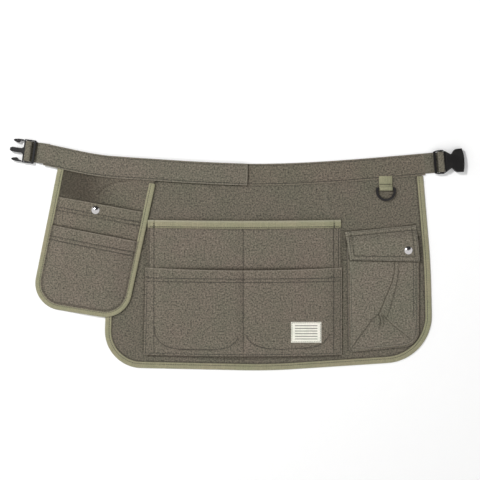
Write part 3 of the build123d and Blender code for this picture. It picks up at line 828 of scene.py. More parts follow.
# the large pockets, two compartments each
lowerBox = edges("lower_pocket")
pocketLook = {
    "seam": 14.0,
    "cloth": 1.2,
    "edge": 1.3,
    "slope": 30.0,
    "bottomSlope": 34.0,
    "valley": 10.0,
    "bow": 3.0,
    "lean": 3.4,
}


def bowed(x, box, depth):
    # how far the bottom edge dips below its box corner: a parabola over the pocket's width
    share = (x - box["left"]) / (box["right"] - box["left"])
    return depth * 4 * share * (1 - share)


def pouting(x, y, box):
    # 0 at the sewn sides and 1 in the middle of a compartment
    sides = ease((x - box["left"]) / pocketLook["slope"]) * ease((box["right"] - x) / pocketLook["slope"])
    foot = ease((y - box["near"] + bowed(x, box, pocketLook["bow"])) / pocketLook["bottomSlope"])
    valley = 1 - 0.45 * bell(x - pocketLook["seam"], pocketLook["valley"])
    return sides * foot * valley


def upperHeight(x, y):
    # the cloth rises from its sewn edges, with a valley at the middle seam
    room = pocketBox["top"] - 0.5 - panelLook["level"] - pocketLook["edge"]
    rise = room * pouting(x, y, pocketBox)
    bare = ease((y - lowerBox["far"]) / 20)
    raisedFold = 0.5 * crease([(-110, 20), (-86, -6)], x, y, 14)
    sunkFold = 0.7 * crease([(-40, 40), (-60, 4)], x, y, 16)
    soft = bare * (raisedFold - sunkFold)
    return panelLook["level"] + pocketLook["edge"] + rise + soft + 0.35 * ripple(x, y, 11) * rise / room


def lowerHeight(x, y):
    # the second pocket lies on the first, a cloth higher at its edges, with a double-folded hem
    room = lowerBox["top"] - 0.75 - pocketBox["top"] - pocketLook["cloth"]
    hem = 0.5 * ease((y + 51.2) / 1.6)
    rise = room * pouting(x, y, lowerBox)
    return upperHeight(x, y) + pocketLook["cloth"] + 0.15 + rise + hem + 0.3 * ripple(
        x, y, 12
    ) * rise / room


def pocketGrid(box, columns, rows, mouthBow=0.0, lean=0.0):
    # straight columns and rows whose bottom row dips and whose top row may too
    share = (rows[:, None] - box["near"]) / (box["far"] - box["near"])
    x = columns - (1 - share) * lean * (box["right"] - columns) / (box["right"] - box["left"])
    y = rows[:, None] - (1 - share) * bowed(x, box, pocketLook["bow"]) - share * bowed(x, box, mouthBow)
    return x, y


sideSeams = (-165.8, -156.6, 183.8, 193.2)
divider = pocketLook["seam"] - 1.5
upperX, upperY = pocketGrid(
    pocketBox,
    ticks(pocketBox["left"] + 2.5, pocketBox["right"] - 3.2, 3.2, (*sideSeams, divider)),
    ticks(pocketBox["far"] - 1.5, pocketBox["near"], 3.2, (pocketBox["near"] + 4.5,)),
)
# painted shade: dark lines on the sewn seams, a dark band in the gap under the lower pocket's mouth, and dark
# lines at the tape's edge and the left side; the right edge lighter with wear
seamShade = sum(0.5 * bell(upperX - seam, 0.9) for seam in (*sideSeams, divider))
mouthGapShade = ease((lowerBox["far"] + 5.5 - upperY) / 5)
tapeEdge = edges("upper_pocket_tape")["near"] + 1.4 - bowed(upperX, pocketBox, 2.0)
upperPocket = addPiece(
    "upperPocket",
    slab(upperX, upperY, upperHeight(upperX, upperY), pocketLook["cloth"]),
    canvas["pocket"],
    "apron",
    ["upper_pocket"],
    {
        "wear": 0.25 * bell(upperX - pocketBox["right"] + 3.2, 1.4),
        "shade": seamShade
        + 0.75 * mouthGapShade
        + 0.6 * bell(upperY - tapeEdge, 1.3)
        + 0.4 * bell(upperX - pocketBox["left"] - 2.5, 1.6),
    },
)

# a rounded foot is sewn in each compartment
footLeft = smoothLine(
    [
        (-156.6, -138),
        (-152, -156),
        (-139, -170),
        (-118, -178),
        (-72, -180),
        (-30, -179),
        (-10, -172),
        (4, -157),
    ],
    2.0,
)
footRight = smoothLine(
    [(18, -152), (26, -165), (42, -174), (75, -179.5), (118, -178), (150, -174), (166, -165), (176, -150)],
    2.0,
)

hemRows = (-44.0, -50.5)
lowerX, lowerY = pocketGrid(
    lowerBox,
    ticks(lowerBox["left"] - 4.5, lowerBox["right"] + 2.5, 3.0, (*sideSeams[1:3], divider)),
    ticks(lowerBox["far"] + 3, lowerBox["near"], 3.0, (*hemRows, lowerBox["near"] + 4)),
    5.5,
    pocketLook["lean"],
)
# the mouth edge lighter with wear and a painted highlight, the right edge with wear; painted shade on the
# sewn seams, the hem rows and the rounded feet
mouthGap = lowerBox["far"] + 3 - bowed(lowerX, lowerBox, 5.5) - lowerY
lowerPocket = addPiece(
    "lowerPocket",
    slab(lowerX, lowerY, lowerHeight(lowerX, lowerY), pocketLook["cloth"]),
    canvas["pocket"],
    "apron",
    ["lower_pocket"],
    {
        "wear": 0.45 * bell(mouthGap, 1.6)
        + 0.2 * bell(lowerX - lowerBox["right"] - 2.5, 1.5),
        "shade": 0.55 * bell(lowerX - divider, 0.9)
        + sum(0.45 * bell(lowerX - seam, 0.9) for seam in sideSeams[1:3])
        + sum(0.45 * bell(lowerY - hem + bowed(lowerX, lowerBox, 2.5), 0.9) for hem in hemRows)
        + 0.6 * crease(footLeft, lowerX, lowerY, 1.0)
        + 0.6 * crease(footRight, lowerX, lowerY, 1.0),
    },
)

tapeBox = edges("upper_pocket_tape")
mouthTapeLook = {"crown": 0.35, "thickness": 2.7, "lift": 1.0}
tapeX, tapeY = np.meshgrid(
    ticks(tapeBox["left"] + 2.0, tapeBox["right"] - 1.6, 3.0, (-156.0, 184.6)),
    ticks(tapeBox["far"] + 2.2, tapeBox["near"] + 2.6, 1.6),
)
tapeShare = (tapeY - tapeBox["near"]) / (tapeBox["far"] - tapeBox["near"])
tapeY = tapeY - bowed(tapeX, pocketBox, 2.0)


def mouthTapeHeight(x, y):
    # the tape folded over the mouth: a low crown on the pocket's cloth
    share = np.clip((y - tapeBox["near"]) / (tapeBox["far"] - tapeBox["near"]), 0, 1)
    return upperHeight(x, y) + mouthTapeLook["lift"] + mouthTapeLook["crown"] * (1 - (2 * share - 1) ** 4)


# the top edge lighter with wear; painted shade: dark lines at both tacked ends and across the lower part
addPiece(
    "mouthTape",
    slab(tapeX, tapeY, mouthTapeHeight(tapeX, tapeY), mouthTapeLook["thickness"]),
    sageTape,
    "apron",
    ["upper_pocket_tape"],
    {
        "wear": 0.4 * bell(1.1 - tapeShare, 0.12),
        "shade": 0.6 * crease([(-156, 40), (-156, 80)], tapeX, tapeY, 1.1)
        + 0.5 * bell(tapeShare - 0.24, 0.07)
        + 0.45 * crease([(184.6, 40), (184.6, 80)], tapeX, tapeY, 1.1),
    },
)

inner = lowerX[0, 1:-1]
hemLines = [np.column_stack([inner, row - bowed(inner, lowerBox, 2.5)]) for row in hemRows]
upperSeam, lowerSeam = (48, -26), (-29, -186)
apronRows = [
    *rightBandRows,
    mainBindingRow,
    *[onCloth([(seam, end) for end in upperSeam], upperHeight) for seam in sideSeams],
    *[onCloth([(seam, end) for end in lowerSeam], lowerHeight) for seam in sideSeams[1:3]],
    onCloth([(lowerBox["left"] - 1.5, -29), (lowerBox["left"] - 4.5, -188)], lowerHeight),
    onCloth([(lowerBox["right"] - 0.5, -29), (lowerBox["right"] - 0.5, -188)], lowerHeight),
    onCloth([(divider, 48), (divider, -28)], upperHeight),
    onCloth([(divider, -33), (divider, -186)], lowerHeight),
    *[onCloth(line, lowerHeight) for line in hemLines],
    onCloth(np.column_stack([lowerX[-1, 1:-1], lowerY[-1, 1:-1] + 3.2]), lowerHeight),
    onCloth(footLeft, lowerHeight),
    onCloth(footRight, lowerHeight),
    onCloth(np.column_stack([tapeX[-1, 1:-1], tapeY[-1, 1:-1] + 1.8]), mouthTapeHeight),
]
tacks = [onCloth([(x + k, 49.5), (x + k, 62)], mouthTapeHeight) for x in (-156.6, 185.2) for k in (-0.8, 0.8)]

labelBox = edges("label")
labelInk = {"reach": 21.0, "height": 1.6, "pitch": 5.0, "first": 12.5, "count": 6}
labelAcross = np.linspace(labelBox["left"], labelBox["right"], 115)
labelDown = np.linspace(labelBox["far"], labelBox["near"], 79)
labelX, labelY = np.meshgrid(labelAcross, labelDown)
fromMiddleX = labelX - (labelBox["left"] + labelBox["right"]) / 2
fromMiddleY = labelY - (labelBox["far"] + labelBox["near"]) / 2
# even bars, one length and one pitch
ink = 0 * fromMiddleX
for k in range(labelInk["count"]):
    away = np.abs(fromMiddleY - labelInk["first"] + k * labelInk["pitch"])
    ink = np.maximum(
        ink, 0.85 * (away < labelInk["height"] / 2) * (np.abs(fromMiddleX) < labelInk["reach"])
    )
labelHalf = ((labelBox["right"] - labelBox["left"]) / 2, (labelBox["far"] - labelBox["near"]) / 2)
labelEdge = np.minimum(labelHalf[0] - np.abs(fromMiddleX), labelHalf[1] - np.abs(fromMiddleY))
# painted shade round the label's edge; the bars are print
label = addPiece(
    "wovenLabel",
    slab(labelX, labelY, lowerHeight(labelX, labelY) + 0.45, 0.5),
    wovenLabel,
    "apron",
    ["label"],
    {"ink": ink, "wear": 0 * ink, "shade": 0.3 * bell(labelEdge, 0.8)},
)
labelHem = 1.6
hemLeft, hemRight = labelBox["left"] + labelHem, labelBox["right"] - labelHem
hemNear, hemFar = labelBox["near"] + labelHem, labelBox["far"] - labelHem
labelCorners = [
    (hemLeft, hemNear), (hemRight, hemNear), (hemRight, hemFar), (hemLeft, hemFar), (hemLeft, hemNear)
]
labelRow = onCloth(labelCorners, lambda x, y: lowerHeight(x, y) + 0.5)
print("large pockets sewn")


# the cargo pocket with its gusset, pleat and flap
pleatLeft = smoothLine(
    [(299.6, 30), (299.6, -12), (298.3, -35), (291, -61), (282, -82), (274, -102), (268.6, -114)], 3.0
)
pleatRight = smoothLine(
    [(308, 30), (307.6, -10.6), (306.3, -35), (301, -64), (295, -86), (289.6, -105), (284, -120)], 3.0
)
foldLeft = smoothLine([(269, -114), (261, -119), (249, -134), (232, -157), (218, -177)], 3.0)
foldRight = smoothLine([(277, -114), (290, -128), (309, -144), (331, -161)], 3.0)
gather = (273.0, -121.0)


def cargoHeight(x, y):
    # the front rises from its gusset; a pleat stands between two lines, and two folds fall away below it
    rim = distanceTo(cargoOutline, x, y)
    top = cargoBox["top"] - 0.05 - cargo["edge"] * (1 - ease(rim / cargo["slope"]))
    low, high = np.interp(y, *pleatLeft[::-1, ::-1].T), np.interp(y, *pleatRight[::-1, ::-1].T)
    pleat = ease((x - low + 1) / 2.2) * ease((high - x + 1) / 2.2) * ease((y + 122) / 14)
    under = ease((x - high) / 1.8) * ease((high + 16 - x) / 14) * ease((y + 120) / 14)
    line = np.where(x < 273, np.interp(x, *foldLeft[::-1].T), np.interp(x, *foldRight.T))
    below = ease((line - y + 0.8) / 2.4) * ease(rim / 8)
    reach = np.hypot(x - gather[0], (y - gather[1]) * 0.7)
    crinkle = bell(reach, 12) * np.sin(1.1 * (x - gather[0]) + 0.2 * (y - gather[1])) * 1.1
    lips = 0.5 * crease(foldLeft + [-2.5, 2.0], x, y, 5) + 0.5 * crease(foldRight + [1.8, 2.4], x, y, 5)
    clear = ease((-24 - y) / 14)
    soft = 0.4 * ripple(x, y, 21, 90) * ease(rim / 18) * clear
    return top + 0.75 * pleat * clear - 0.35 * under * clear - 1.1 * below + crinkle + lips * clear + soft


cargoTopEdge = resample([cargoOutline[0], cargoOutline[-1]], 2.0)
cargoX, cargoY = panelGrid(cargoOutline, cargoTopEdge[1:-1], (cargoCorners[1], cargoCorners[2]), 1.25)
cargoRim = distanceTo(cargoOutline, cargoX, cargoY)
# painted shade along the pleat and fold lines
foldShade = (
    1.0 * crease(pleatLeft, cargoX, cargoY, 1.1)
    + 0.8 * crease(pleatRight, cargoX, cargoY, 1.0)
    + 0.9 * crease(foldLeft, cargoX, cargoY, 1.0)
    + 0.9 * crease(foldRight, cargoX, cargoY, 1.0)
    + 0.9 * crease(smoothLine([(269, -115), (273, -126), (270, -138)], 2.0), cargoX, cargoY, 1.1)
    + 0.7 * crease(smoothLine([(275, -115), (279.5, -126), (276, -136)], 2.0), cargoX, cargoY, 1.0)
)
# painted shadow of the flap: dark over the top of the front and along the flap's lower edge
flapLip = np.array(flapOutline[3:5]) - flapAcross[:2] * 0.6
flapShadow = 0.5 * ease((cargoY + 14) / 8) + 1.0 * crease(flapLip, cargoX, cargoY, 1.5)
cargoFront = addPiece(
    "cargoFront",
    slab(cargoX, cargoY, cargoHeight(cargoX, cargoY), pocketLook["cloth"]),
    canvas["flap"],
    "apron",
    ["cargo_pocket"],
    {
        # lighter just inside the rim with wear, and painted highlights beside the left pleat line and the
        # right fold; painted shade: the fold lines, the flap's shadow and a dark line at the rim
        "wear": 0.2 * bell(cargoRim - 3.0, 1.5)
        + 0.22 * crease(pleatLeft + [2.0, 0], cargoX, cargoY, 1.2)
        + 0.18 * crease(foldRight + [0.9, 1.2], cargoX, cargoY, 1.0),
        "shade": np.clip(foldShade + flapShadow + 0.85 * bell(cargoRim, 1.2), 0, 1),
    },
)
gussetProfile = [
    (2.2, 0), (-1.6, 0), (-2.4, 0.7), (-0.7, 2.0), (-1.9, 3.3), (-1.3, 4.0), (0.6, 3.9), (2.2, 3.2)
]
gussetPath = resample(cargoOutline, 2.0)
addPiece(
    "cargoGusset",
    sweep(gussetPath, gussetProfile, panelLook["level"] - 0.1),
    canvas["bandRight"],
    "apron",
    ["cargo_gusset"],
)


def flapDropAt(along):
    # how far the flap hangs below its hinge: an even slope from one side to the other
    return np.interp(
        along, (-flapLook["half"], flapLook["half"]), (flapLook["dropLeft"], flapLook["dropRight"])
    )


flapColumns = ticks(
    -flapLook["half"], flapLook["half"], 2.2, (-flapLook["half"] + 8.5, flapLook["half"] - 8.5)
)
flapRows = np.concatenate([np.linspace(flapLook["seamTop"], 2, 7)[:-1], np.linspace(2, -14, 18)[:-1]])
dropShare = np.linspace(0, 1, 26)
flapDrop = flapDropAt(flapColumns)
lowPart = -14 - dropShare[:, None] * (flapDrop[None] - 14)
flapC = np.vstack([np.broadcast_to(flapRows[:, None], (len(flapRows), len(flapColumns))), lowPart])
flareShare = (flapC + flapLook["dropLeft"]) / (flapLook["seamTop"] + flapLook["dropLeft"])
flapA = flapColumns - flapLook["flare"] * flareShare * np.clip(-flapColumns / flapLook["half"], 0, 1)
plateTop = edges("flap")["top"]
seamTop = edges("flap_seam")["top"]


def flapHeight(along, across):
    # sewn down above the hinge, then up over the pocket within the bend, and softly down at its free edges
    drop = flapDropAt(along)
    free = np.minimum(flapLook["half"] - np.abs(along), across + drop)
    up = ease((0.9 - across) / (flapLook["bend"] + 0.5))
    rise = seamTop + 0.5 + (plateTop - 0.1 - seamTop - 0.5) * up
    rounded = 0.35 * (1 - ease(free / 3.5)) + 0.2 * bell(free - 8.2, 1.0) * ease(-across / 6)
    groove = 0.3 * bell(across - 1.2, 1.1)
    belly = 0.35 * np.sin(math.pi * np.clip(-across / drop, 0, 1)) * ripple(along, across, 31, 70.0)
    keepClear = bell(np.hypot(along - 45.6, across + 35.9), 14)
    return rise - rounded - groove + belly * (1 - keepClear)


flapXY = onFlap(flapA, flapC)
flapFree = np.minimum(flapLook["half"] - np.abs(flapColumns), flapC + flapDrop[None])
flapShape = slab(flapXY[..., 0], flapXY[..., 1], flapHeight(flapA, flapC), flapLook["thickness"])
cargoFlap = addPiece(
    "cargoFlap",
    flapShape,
    canvas["flap"],
    None,
    ["flap", "flap_seam"],
    {
        # the free edges and the seam's top lighter with wear; painted shade along the sewn groove and the
        # inner stitched line
        "wear": 0.25 * bell(flapFree - 1.5, 1.5) + 0.3 * bell(flapLook["seamTop"] - flapC, 2.5),
        "shade": 0.65 * bell(flapC - 1.2, 1.0) + 0.5 * bell(flapFree - 8.2, 0.9),
    },
)


def onFlapCloth(along, across):
    # a sewn line given in the flap's own directions
    line = resample(np.column_stack([along, across]), 1.5)
    return np.column_stack([onFlap(line[:, 0], line[:, 1]), flapHeight(line[:, 0], line[:, 1])])


flapStitchRows = [
    onFlapCloth([-63, 63], [1.2, 1.2]),
    onFlapCloth([-63, 63], [8.0, 8.0]),
    onFlapCloth([-56.8, -56.8, 56.8, 56.8], [0, -37.4, -49.6, 0]),
    onFlapCloth([-63, -63, 63, 63], [0, -42.8, -56.6, 0]),
]
cargoRows = [
    onCloth(shifted(cargoOutline, 4.0)[40:-20], cargoHeight),
    onCloth([(cargoBox["right"] - 9.5, -10), (cargoBox["right"] - 9.5, -120)], cargoHeight),
]
apronRows += cargoRows
print("cargo pocket sewn")


# the D-ring webbing and the two strap ends
ring = {"webbing": 1.0, "width": 25.0, "bar": 2.75, "row": 8.2}
ringPlace = joint("d_ring_swing")[0]


def looped(tail, barHalf, barHigh, corner, level):
    # a strap's middle line from the side: out along its tail, round the bar, and back on itself
    turns = ((-0.4, -1), (1, -1), (1, 1), (-1, 1), (-1, -0.25))
    box = [(barHalf * out, level + barHigh * up) for out, up in turns]
    return roundedPath([*tail, *box], [3.0] * (len(tail) - 1) + [corner] * 5, 0.5)


ringOut = ring["bar"] + ring["webbing"] / 2 + 0.15
ringTail = [
    (-24, panelLook["level"] + 0.5), (-12, panelLook["level"] + 0.5), (-6, panelLook["level"] + 0.55)
]
ringSide = looped(ringTail, ringOut, ringOut, ringOut * 0.96, ringPlace[2])
backTail = resample(
    [
        (-ringOut + 0.1, ringPlace[2] - 0.4),
        (-6.5, panelLook["level"] + 2.2),
        (-24, panelLook["level"] + 1.6),
    ],
    0.5,
)
ringSide = np.vstack([ringSide[:-2], backTail])
ringMiddle = np.full(len(ringSide), ringPlace[0])
ringPath = np.column_stack([ringMiddle, ringPlace[1] - ringSide[:, 0], ringSide[:, 1]])
ringShape = ribbon(ringPath, (1, 0, 0), ring["width"], ring["webbing"])
# painted shade along the sewn row across the webbing
ringRowShade = 0.8 * bell(ringShape["points"][:, 1] - ringPlace[1] - ring["row"], 0.9)
ringMasks = {"wear": 0 * ringRowShade, "shade": ringRowShade}
addPiece(
    "ringWebbing", ringShape, sageTape, "apron", ["d_ring_loop"], ringMasks
)
rowAcross = np.linspace(-11, 11, 20) + ringPlace[0]
ringRow = [(place, ringPlace[1] + ring["row"], panelLook["level"] + 2.75) for place in rowAcross]
apronRows.append(ringRow)

strap = {
    "width": 38.6,
    "thickness": 1.15,
    "barHalf": 5.1,
    "barHigh": 3.2,
    "corner": 1.6,
    "slotRear": 9.8,
    "plateRear": 15.2,
    "tail": 24.0,
    "tuck": 16.0,
}


def strapEnd(name, node, jointName, farLevel, body):
    # the tail runs from its waistband down under the buckle's rear edge, up its slot and round the bar
    place, axis = joint(jointName)
    outward = np.array([-axis[1], axis[0], 0])
    half = strap["thickness"] / 2
    tail = [
        (-strap["tail"] - strap["tuck"], farLevel + half + 0.4),
        (-strap["tail"], farLevel + half + 0.4),
        (-strap["plateRear"] - 1, half + 0.3),
        (-strap["slotRear"], half + 0.2),
        (-strap["slotRear"] * 0.7, half + 0.8),
    ]
    side = looped(tail, strap["barHalf"], strap["barHigh"], strap["corner"], place[2])
    path = place * [1, 1, 0] + side[:, :1] * outward + side[:, 1:] * [0, 0, 1]
    return addPiece(
        name,
        ribbon(path, axis, strap["width"], strap["thickness"]),
        canvas["bandLeft"],
        body,
        [node],
    )


strapEnd(
    "leftStrap", "left_strap_end", "male_buckle_rock", edges("left_waistband")["low"], "pouch"
)
strapEnd("rightStrap", "right_strap_end", "female_buckle_rock", 0.2, "apron")


def fastenerStrip(name, node, line, start, end, finish, body):
    # a flat strip on the waist line between two places along it
    box = edges(node)
    part = line[(line[:, 0] > start) & (line[:, 0] < end)]
    across = np.linspace(12.5, -12.5, 9)
    spot = part[None] + leftward(part)[None] * across[:, None, None]
    top = np.full(spot.shape[:2], box["top"])
    return addPiece(
        name,
        slab(spot[..., 0], spot[..., 1], top, box["top"] - box["low"]),
        finish,
        body,
        [node],
    )


loopBox, hookBox = edges("loop_strip"), edges("hook_strip")
fastenerStrip(
    "loopStrip", "loop_strip", rightLine, loopBox["left"], loopBox["right"], loopPile, "apron"
)
fastenerStrip(
    "hookStrip", "hook_strip", leftLine, hookBox["left"], hookBox["right"], hookPile, "pouch"
)
print("straps looped")


# the pouch
pouchLook = {"level": edges("pouch_panel")["top"], "sagFrom": -276.0, "sag": 2.4, "cloth": 1.2}
rearMouth = np.array([(-345.0, 111.0), (-180.0, 80.5)])
frontMouth = np.array([(-359.0, 58.0), (-190.0, 24.5)])
pouchArc = smoothLine([(-208, 138.6), (-224, 137.2), (-240, 132.6), (-253, 125), (-262, 115)], 2.0)
pouchFolds = [(pouchArc + [1.0, -2.6], 3.2, 1.6), ([(-175, 128), (-235, 108)], 16.0, 0.5)]


def sag(x, y):
    # the outer part, which nothing holds up, settles towards the table away from the waist
    return -pouchLook["sag"] * ease((pouchLook["sagFrom"] - x) / 60) * ease((150 - y) / 70)


def mouthAt(mouth, x):
    # a mouth line's height on the plan at each place
    return mouth[0, 1] + (x - mouth[0, 0]) * (mouth[1, 1] - mouth[0, 1]) / (mouth[1, 0] - mouth[0, 0])


def pouchHeight(x, y):
    # the panel, with an arched crease under the waistband
    ridges = sum(lift * crease(line, x, y, width) for line, width, lift in pouchFolds)
    bare = ease((y - mouthAt(rearMouth, x)) / 10)
    return pouchLook["level"] - 0.1 + sag(x, y) + bare * (ridges + 0.25 * ripple(x, y, 41))


def inPouch(x, y):
    # how far a place is inside the bound edge
    return distanceTo(pouchEdge[::4], x, y) - 10.5


rearBox, frontBox = edges("pouch_rear_pocket"), edges("pouch_front_pocket")


def rearHeight(x, y):
    # the rear pocket's front rises from under the binding
    room = rearBox["top"] - 0.05 - pouchLook["level"] - 0.6
    rise = room * ease(inPouch(x, y) / 40)
    hem = 0.45 * ease((y - mouthAt(rearMouth, x) + 27.2) / 1.6) - 0.45
    soft = 0.3 * ripple(x, y, 42) * np.clip(np.hypot(x + 266.6, y - 84) / 40, 0, 1)
    return pouchLook["level"] + 0.6 + rise + hem * ease(inPouch(x, y) / 20) + sag(x, y) + soft * rise / room


def frontHeight(x, y):
    # the front pocket lies on the rear one, with two faint pressed lines
    room = frontBox["top"] - 1.2 - rearBox["top"] - pouchLook["cloth"]
    rise = room * ease((inPouch(x, y) - 2) / 30)
    hem = 0.45 * ease((y - mouthAt(frontMouth, x) + 29.2) / 1.6)
    pressed = 0.5 * crease(
        [(-318, 14), (-330, -74)], x, y, 2.0
    ) + 0.35 * crease([(-292, 8), (-300, -80)], x, y, 1.8)
    return rearHeight(
        x, y
    ) + 0.45 + 0.75 * ease(inPouch(x, y) / 12) + rise + hem + pressed * ease((-2 - y) / 14)


pouchUnder = shifted(leftLine, -13.0)
pouchInner = clipped(shifted(pouchEdge, 3.0), lambda x: np.interp(x, *pouchUnder.T))
underX = pouchUnder[:, 0]
pouchTopLine = pouchUnder[(underX > pouchInner[0, 0] + 3) & (underX < pouchInner[-1, 0] - 3)]
pouchX, pouchY = panelGrid(pouchInner, pouchTopLine, (pouchCorners[1], pouchCorners[2]), 2.6)
pouchPanel = addPiece(
    "pouchPanel",
    slab(pouchX, pouchY, pouchHeight(pouchX, pouchY), pouchLook["cloth"] - 0.1),
    canvas["pouch"],
    "pouch",
    ["pouch_panel"],
    # a painted highlight along the ridge beside the arched crease; painted shade: the whole panel a little
    # darker, much darker towards its left under the waistband, and dark lines along the arched crease, the
    # rear pocket's mouth and the waistband's edge
    {
        "wear": 0.25 * crease(pouchFolds[0][0], pouchX, pouchY, 1.6),
        "shade": 0.12 + 0.72 * ease((-215 - pouchX) / 80) * ease((pouchY - mouthAt(rearMouth, pouchX)) / 8)
        + 0.7 * crease(pouchArc, pouchX, pouchY, 1.3)
        + 0.85 * crease(rearMouth + [0, 1.2], pouchX, pouchY, 1.8)
        + 0.4 * crease(shifted(leftLine, -21)[::3], pouchX, pouchY, 2.0),
    },
)


def pouchPocket(name, node, mouth, height, insetBy, tint, hems, under=None):
    # a pocket front cut to the bound outline below its mouth
    path = clipped(resample(shifted(pouchEdge, insetBy), 1.0), lambda x: mouthAt(mouth, x))
    top = resample([path[0], path[-1]], 2.0)[1:-1]
    x, y = panelGrid(path, top, (pouchCorners[1], pouchCorners[2]), 2.0)
    gap = mouthAt(mouth, x) - y
    # the mouth edge lighter with wear and a painted highlight; painted shade inside the binding, on the hem
    # rows and under the front pocket's mouth
    masks = {"wear": 0.5 * bell(gap, 1.5), "shade": 0.7 * bell(inPouch(x, y) - 2.2, 1.6)}
    masks["shade"] = masks["shade"] + sum(0.6 * bell(gap - down, 1.0) for down in hems)
    if under is not None:
        masks["shade"] = masks["shade"] + 0.9 * crease(under + [0, 1.1], x, y, 1.7)
    shape = slab(x, y, height(x, y), pouchLook["cloth"])
    return addPiece(name, shape, tint, "pouch", [node], masks), x, y


rearPocket, rearX, rearY = pouchPocket(
    "pouchRearPocket",
    "pouch_rear_pocket",
    rearMouth,
    rearHeight,
    9.0,
    canvas["pouch"],
    (20.4, 26.8),
    frontMouth,
)
frontPocket, frontX, frontY = pouchPocket(
    "pouchFrontPocket", "pouch_front_pocket", frontMouth, frontHeight, 10.0, canvas["pocket"], (21.4, 28.7)
)

pouchWaist = shifted(leftLine, -19.4)
pouchTapePath = clipped(pouchEdge, lambda x: np.where(x > -250, 135.0, np.interp(x, *pouchWaist.T)))
pouchTapeLift = sag(*shifted(pouchTapePath, 6.0).T)
tapeRings = sweep(pouchTapePath, bindingProfile, pouch["low"])
tapeRings["points"] = tapeRings["points"] + np.repeat(
    pouchTapeLift, len(bindingProfile)
)[:, None] * [0, 0, 1]
addPiece("pouchBinding", tapeRings, sageTape, "pouch", ["pouch_binding"])
pouchTapeRow = shifted(pouchTapePath, 8.0)
pouchTapeRow = np.column_stack([pouchTapeRow, pouch["low"] + 2.62 + pouchTapeLift])


def acrossPouch(mouth, down, height, insetBy=13.0):
    # a line parallel to a mouth, from binding to binding
    line = resample(mouth + [0, -down] + [[-30, 30 * 0.19], [30, -30 * 0.19]], 1.0)
    sides = (pouchCorners[:2], pouchCorners[:1:-1])
    low, high = [np.interp(line[:, 1], *np.array(side)[::-1, ::-1].T) for side in sides]
    return onCloth(line[(line[:, 0] > low + insetBy) & (line[:, 0] < high - insetBy)], height)


pouchRows = [
    *leftBandRows,
    pouchTapeRow,
    acrossPouch(rearMouth, 20.0, rearHeight),
    acrossPouch(rearMouth, 26.4, rearHeight),
    acrossPouch(frontMouth, 21.0, frontHeight),
    acrossPouch(frontMouth, 28.2, frontHeight),
]
print("pouch sewn")


# thread, one piece for each body
stitchPieces = {
    "apronStitches": (apronRows + tacks, paintedShadeThread, "apron"),
    "labelStitches": ([labelRow], paleThread, "apron"),
    "pouchStitches": (pouchRows, paintedShadeThread, "pouch"),
    "flapStitches": (flapStitchRows, paintedShadeThread, None),
}
sewn = {}
for name, (rows, thread, body) in stitchPieces.items():
    sewn[name] = addPiece(name, stitches(rows), thread, body)

for piece in (cargoFlap, sewn["flapStitches"]):
    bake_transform(piece)


partFinishes = [
    (blackPlastic, "black_plastic", ("female_buckle", "male_buckle", "upper_prong", "lower_prong")),
    (mattPlastic, "black_plastic", ("d_ring",)),
    (nickel, "snap_metal", ("flap_snap_cap", "flap_snap_socket", "cargo_snap_stud", "cargo_snap_post")),
    (nickel, "snap_metal", ("pouch_snap_cap", "pouch_snap_socket", "pouch_snap_stud", "pouch_snap_post")),
]
for finish, slotName, nodes in partFinishes:
    for node in nodes:
        part = frame["nodes"][node]
        part.data.materials.clear()
        part.data.materials.append(finish)
print("hardware finished")


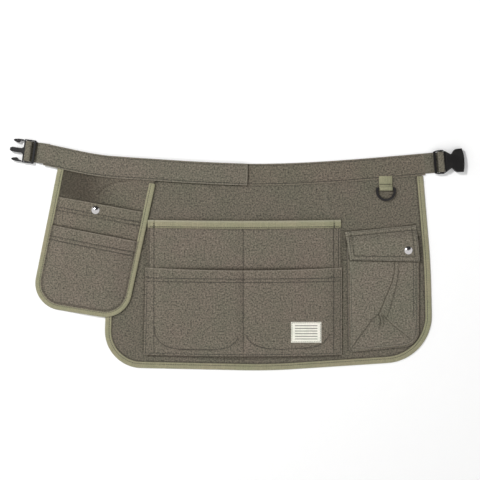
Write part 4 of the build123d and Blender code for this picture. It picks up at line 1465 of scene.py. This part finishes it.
# floor, light and camera
studio = {
    "floorSize": 8.0,
    "floorDrop": 0.4,
    "floorColour": (0.99, 0.99, 0.987, 1.0),
    "sky": 0.97,
    "card": 0.04,
    "cardSide": (0.02, 0.74, 0.67),
    "keyPower": 52.0,
    "keyPlace": (-1.35, 1.25, 2.3),
    "keySize": 0.45,
    "cameraPlace": (0.0065, 0.0274, 2.153),
    "lens": 85.0,
    "sensor": 36.0,
}
reach = studio["floorSize"] / 2
floorMesh = bpy.data.meshes.new("floor")
depth = -studio["floorDrop"] * mm
floorCorners = [
    (-reach, -reach, depth), (reach, -reach, depth), (reach, reach, depth), (-reach, reach, depth)
]
floorMesh.from_pydata(floorCorners, [], [(0, 1, 2, 3)])
floor = bpy.data.objects.new("floor", floorMesh)
bpy.context.scene.collection.objects.link(floor)
floorFinish, floorTree, floorShader = newFinish("paleFloor", Roughness=0.9, Specular_IOR_Level=0.1)
dust = add(
    floorTree, "TexNoise", Vector=add(floorTree, "TexCoord").outputs["Object"], Scale=40.0
).outputs[0]
floorTone = mixed(
    floorTree, dust, studio["floorColour"], tuple(0.985 * c for c in studio["floorColour"][:3]) + (1.0,)
)
floorTree.links.new(floorTone, floorShader["Base Color"])
floorMesh.materials.append(floorFinish)

world = bpy.data.worlds.new("studio")
world.use_nodes = True
sky = world.node_tree
facing = add(
    sky,
    "VectorMath",
    {"operation": "DOT_PRODUCT"},
    i0=add(sky, "TexCoord").outputs["Generated"],
    i1=studio["cardSide"],
)
card = add(
    sky,
    "MapRange",
    {"interpolation_type": "SMOOTHSTEP"},
    i0=facing.outputs["Value"],
    i1=0.64,
    i2=0.74,
    i3=studio["sky"],
    i4=studio["card"],
)
sky.links.new(card.outputs[0], sky.nodes["Background"].inputs["Strength"])
sky.nodes["Background"].inputs["Color"].default_value = (1.0, 1.0, 1.0, 1.0)
bpy.context.scene.world = world

keyLight = bpy.data.lights.new("keyLight", "AREA")
keyLight.shape = "DISK"
keyLight.size = studio["keySize"]
keyLight.energy = studio["keyPower"]
key = bpy.data.objects.new("keyLight", keyLight)
key.location = studio["keyPlace"]
aim = -np.array(studio["keyPlace"])
key.rotation_euler = (
    math.atan2(math.hypot(aim[0], aim[1]), -aim[2]), 0, math.atan2(aim[1], aim[0]) - math.pi / 2
)
bpy.context.scene.collection.objects.link(key)

cameraData = bpy.data.cameras.new("camera")
cameraData.lens = studio["lens"]
cameraData.sensor_width = studio["sensor"]
camera = bpy.data.objects.new("camera", cameraData)
camera.location = studio["cameraPlace"]
bpy.context.scene.collection.objects.link(camera)
bpy.context.scene.camera = camera
bpy.context.scene.view_settings.view_transform = "Standard"
print("studio lit")
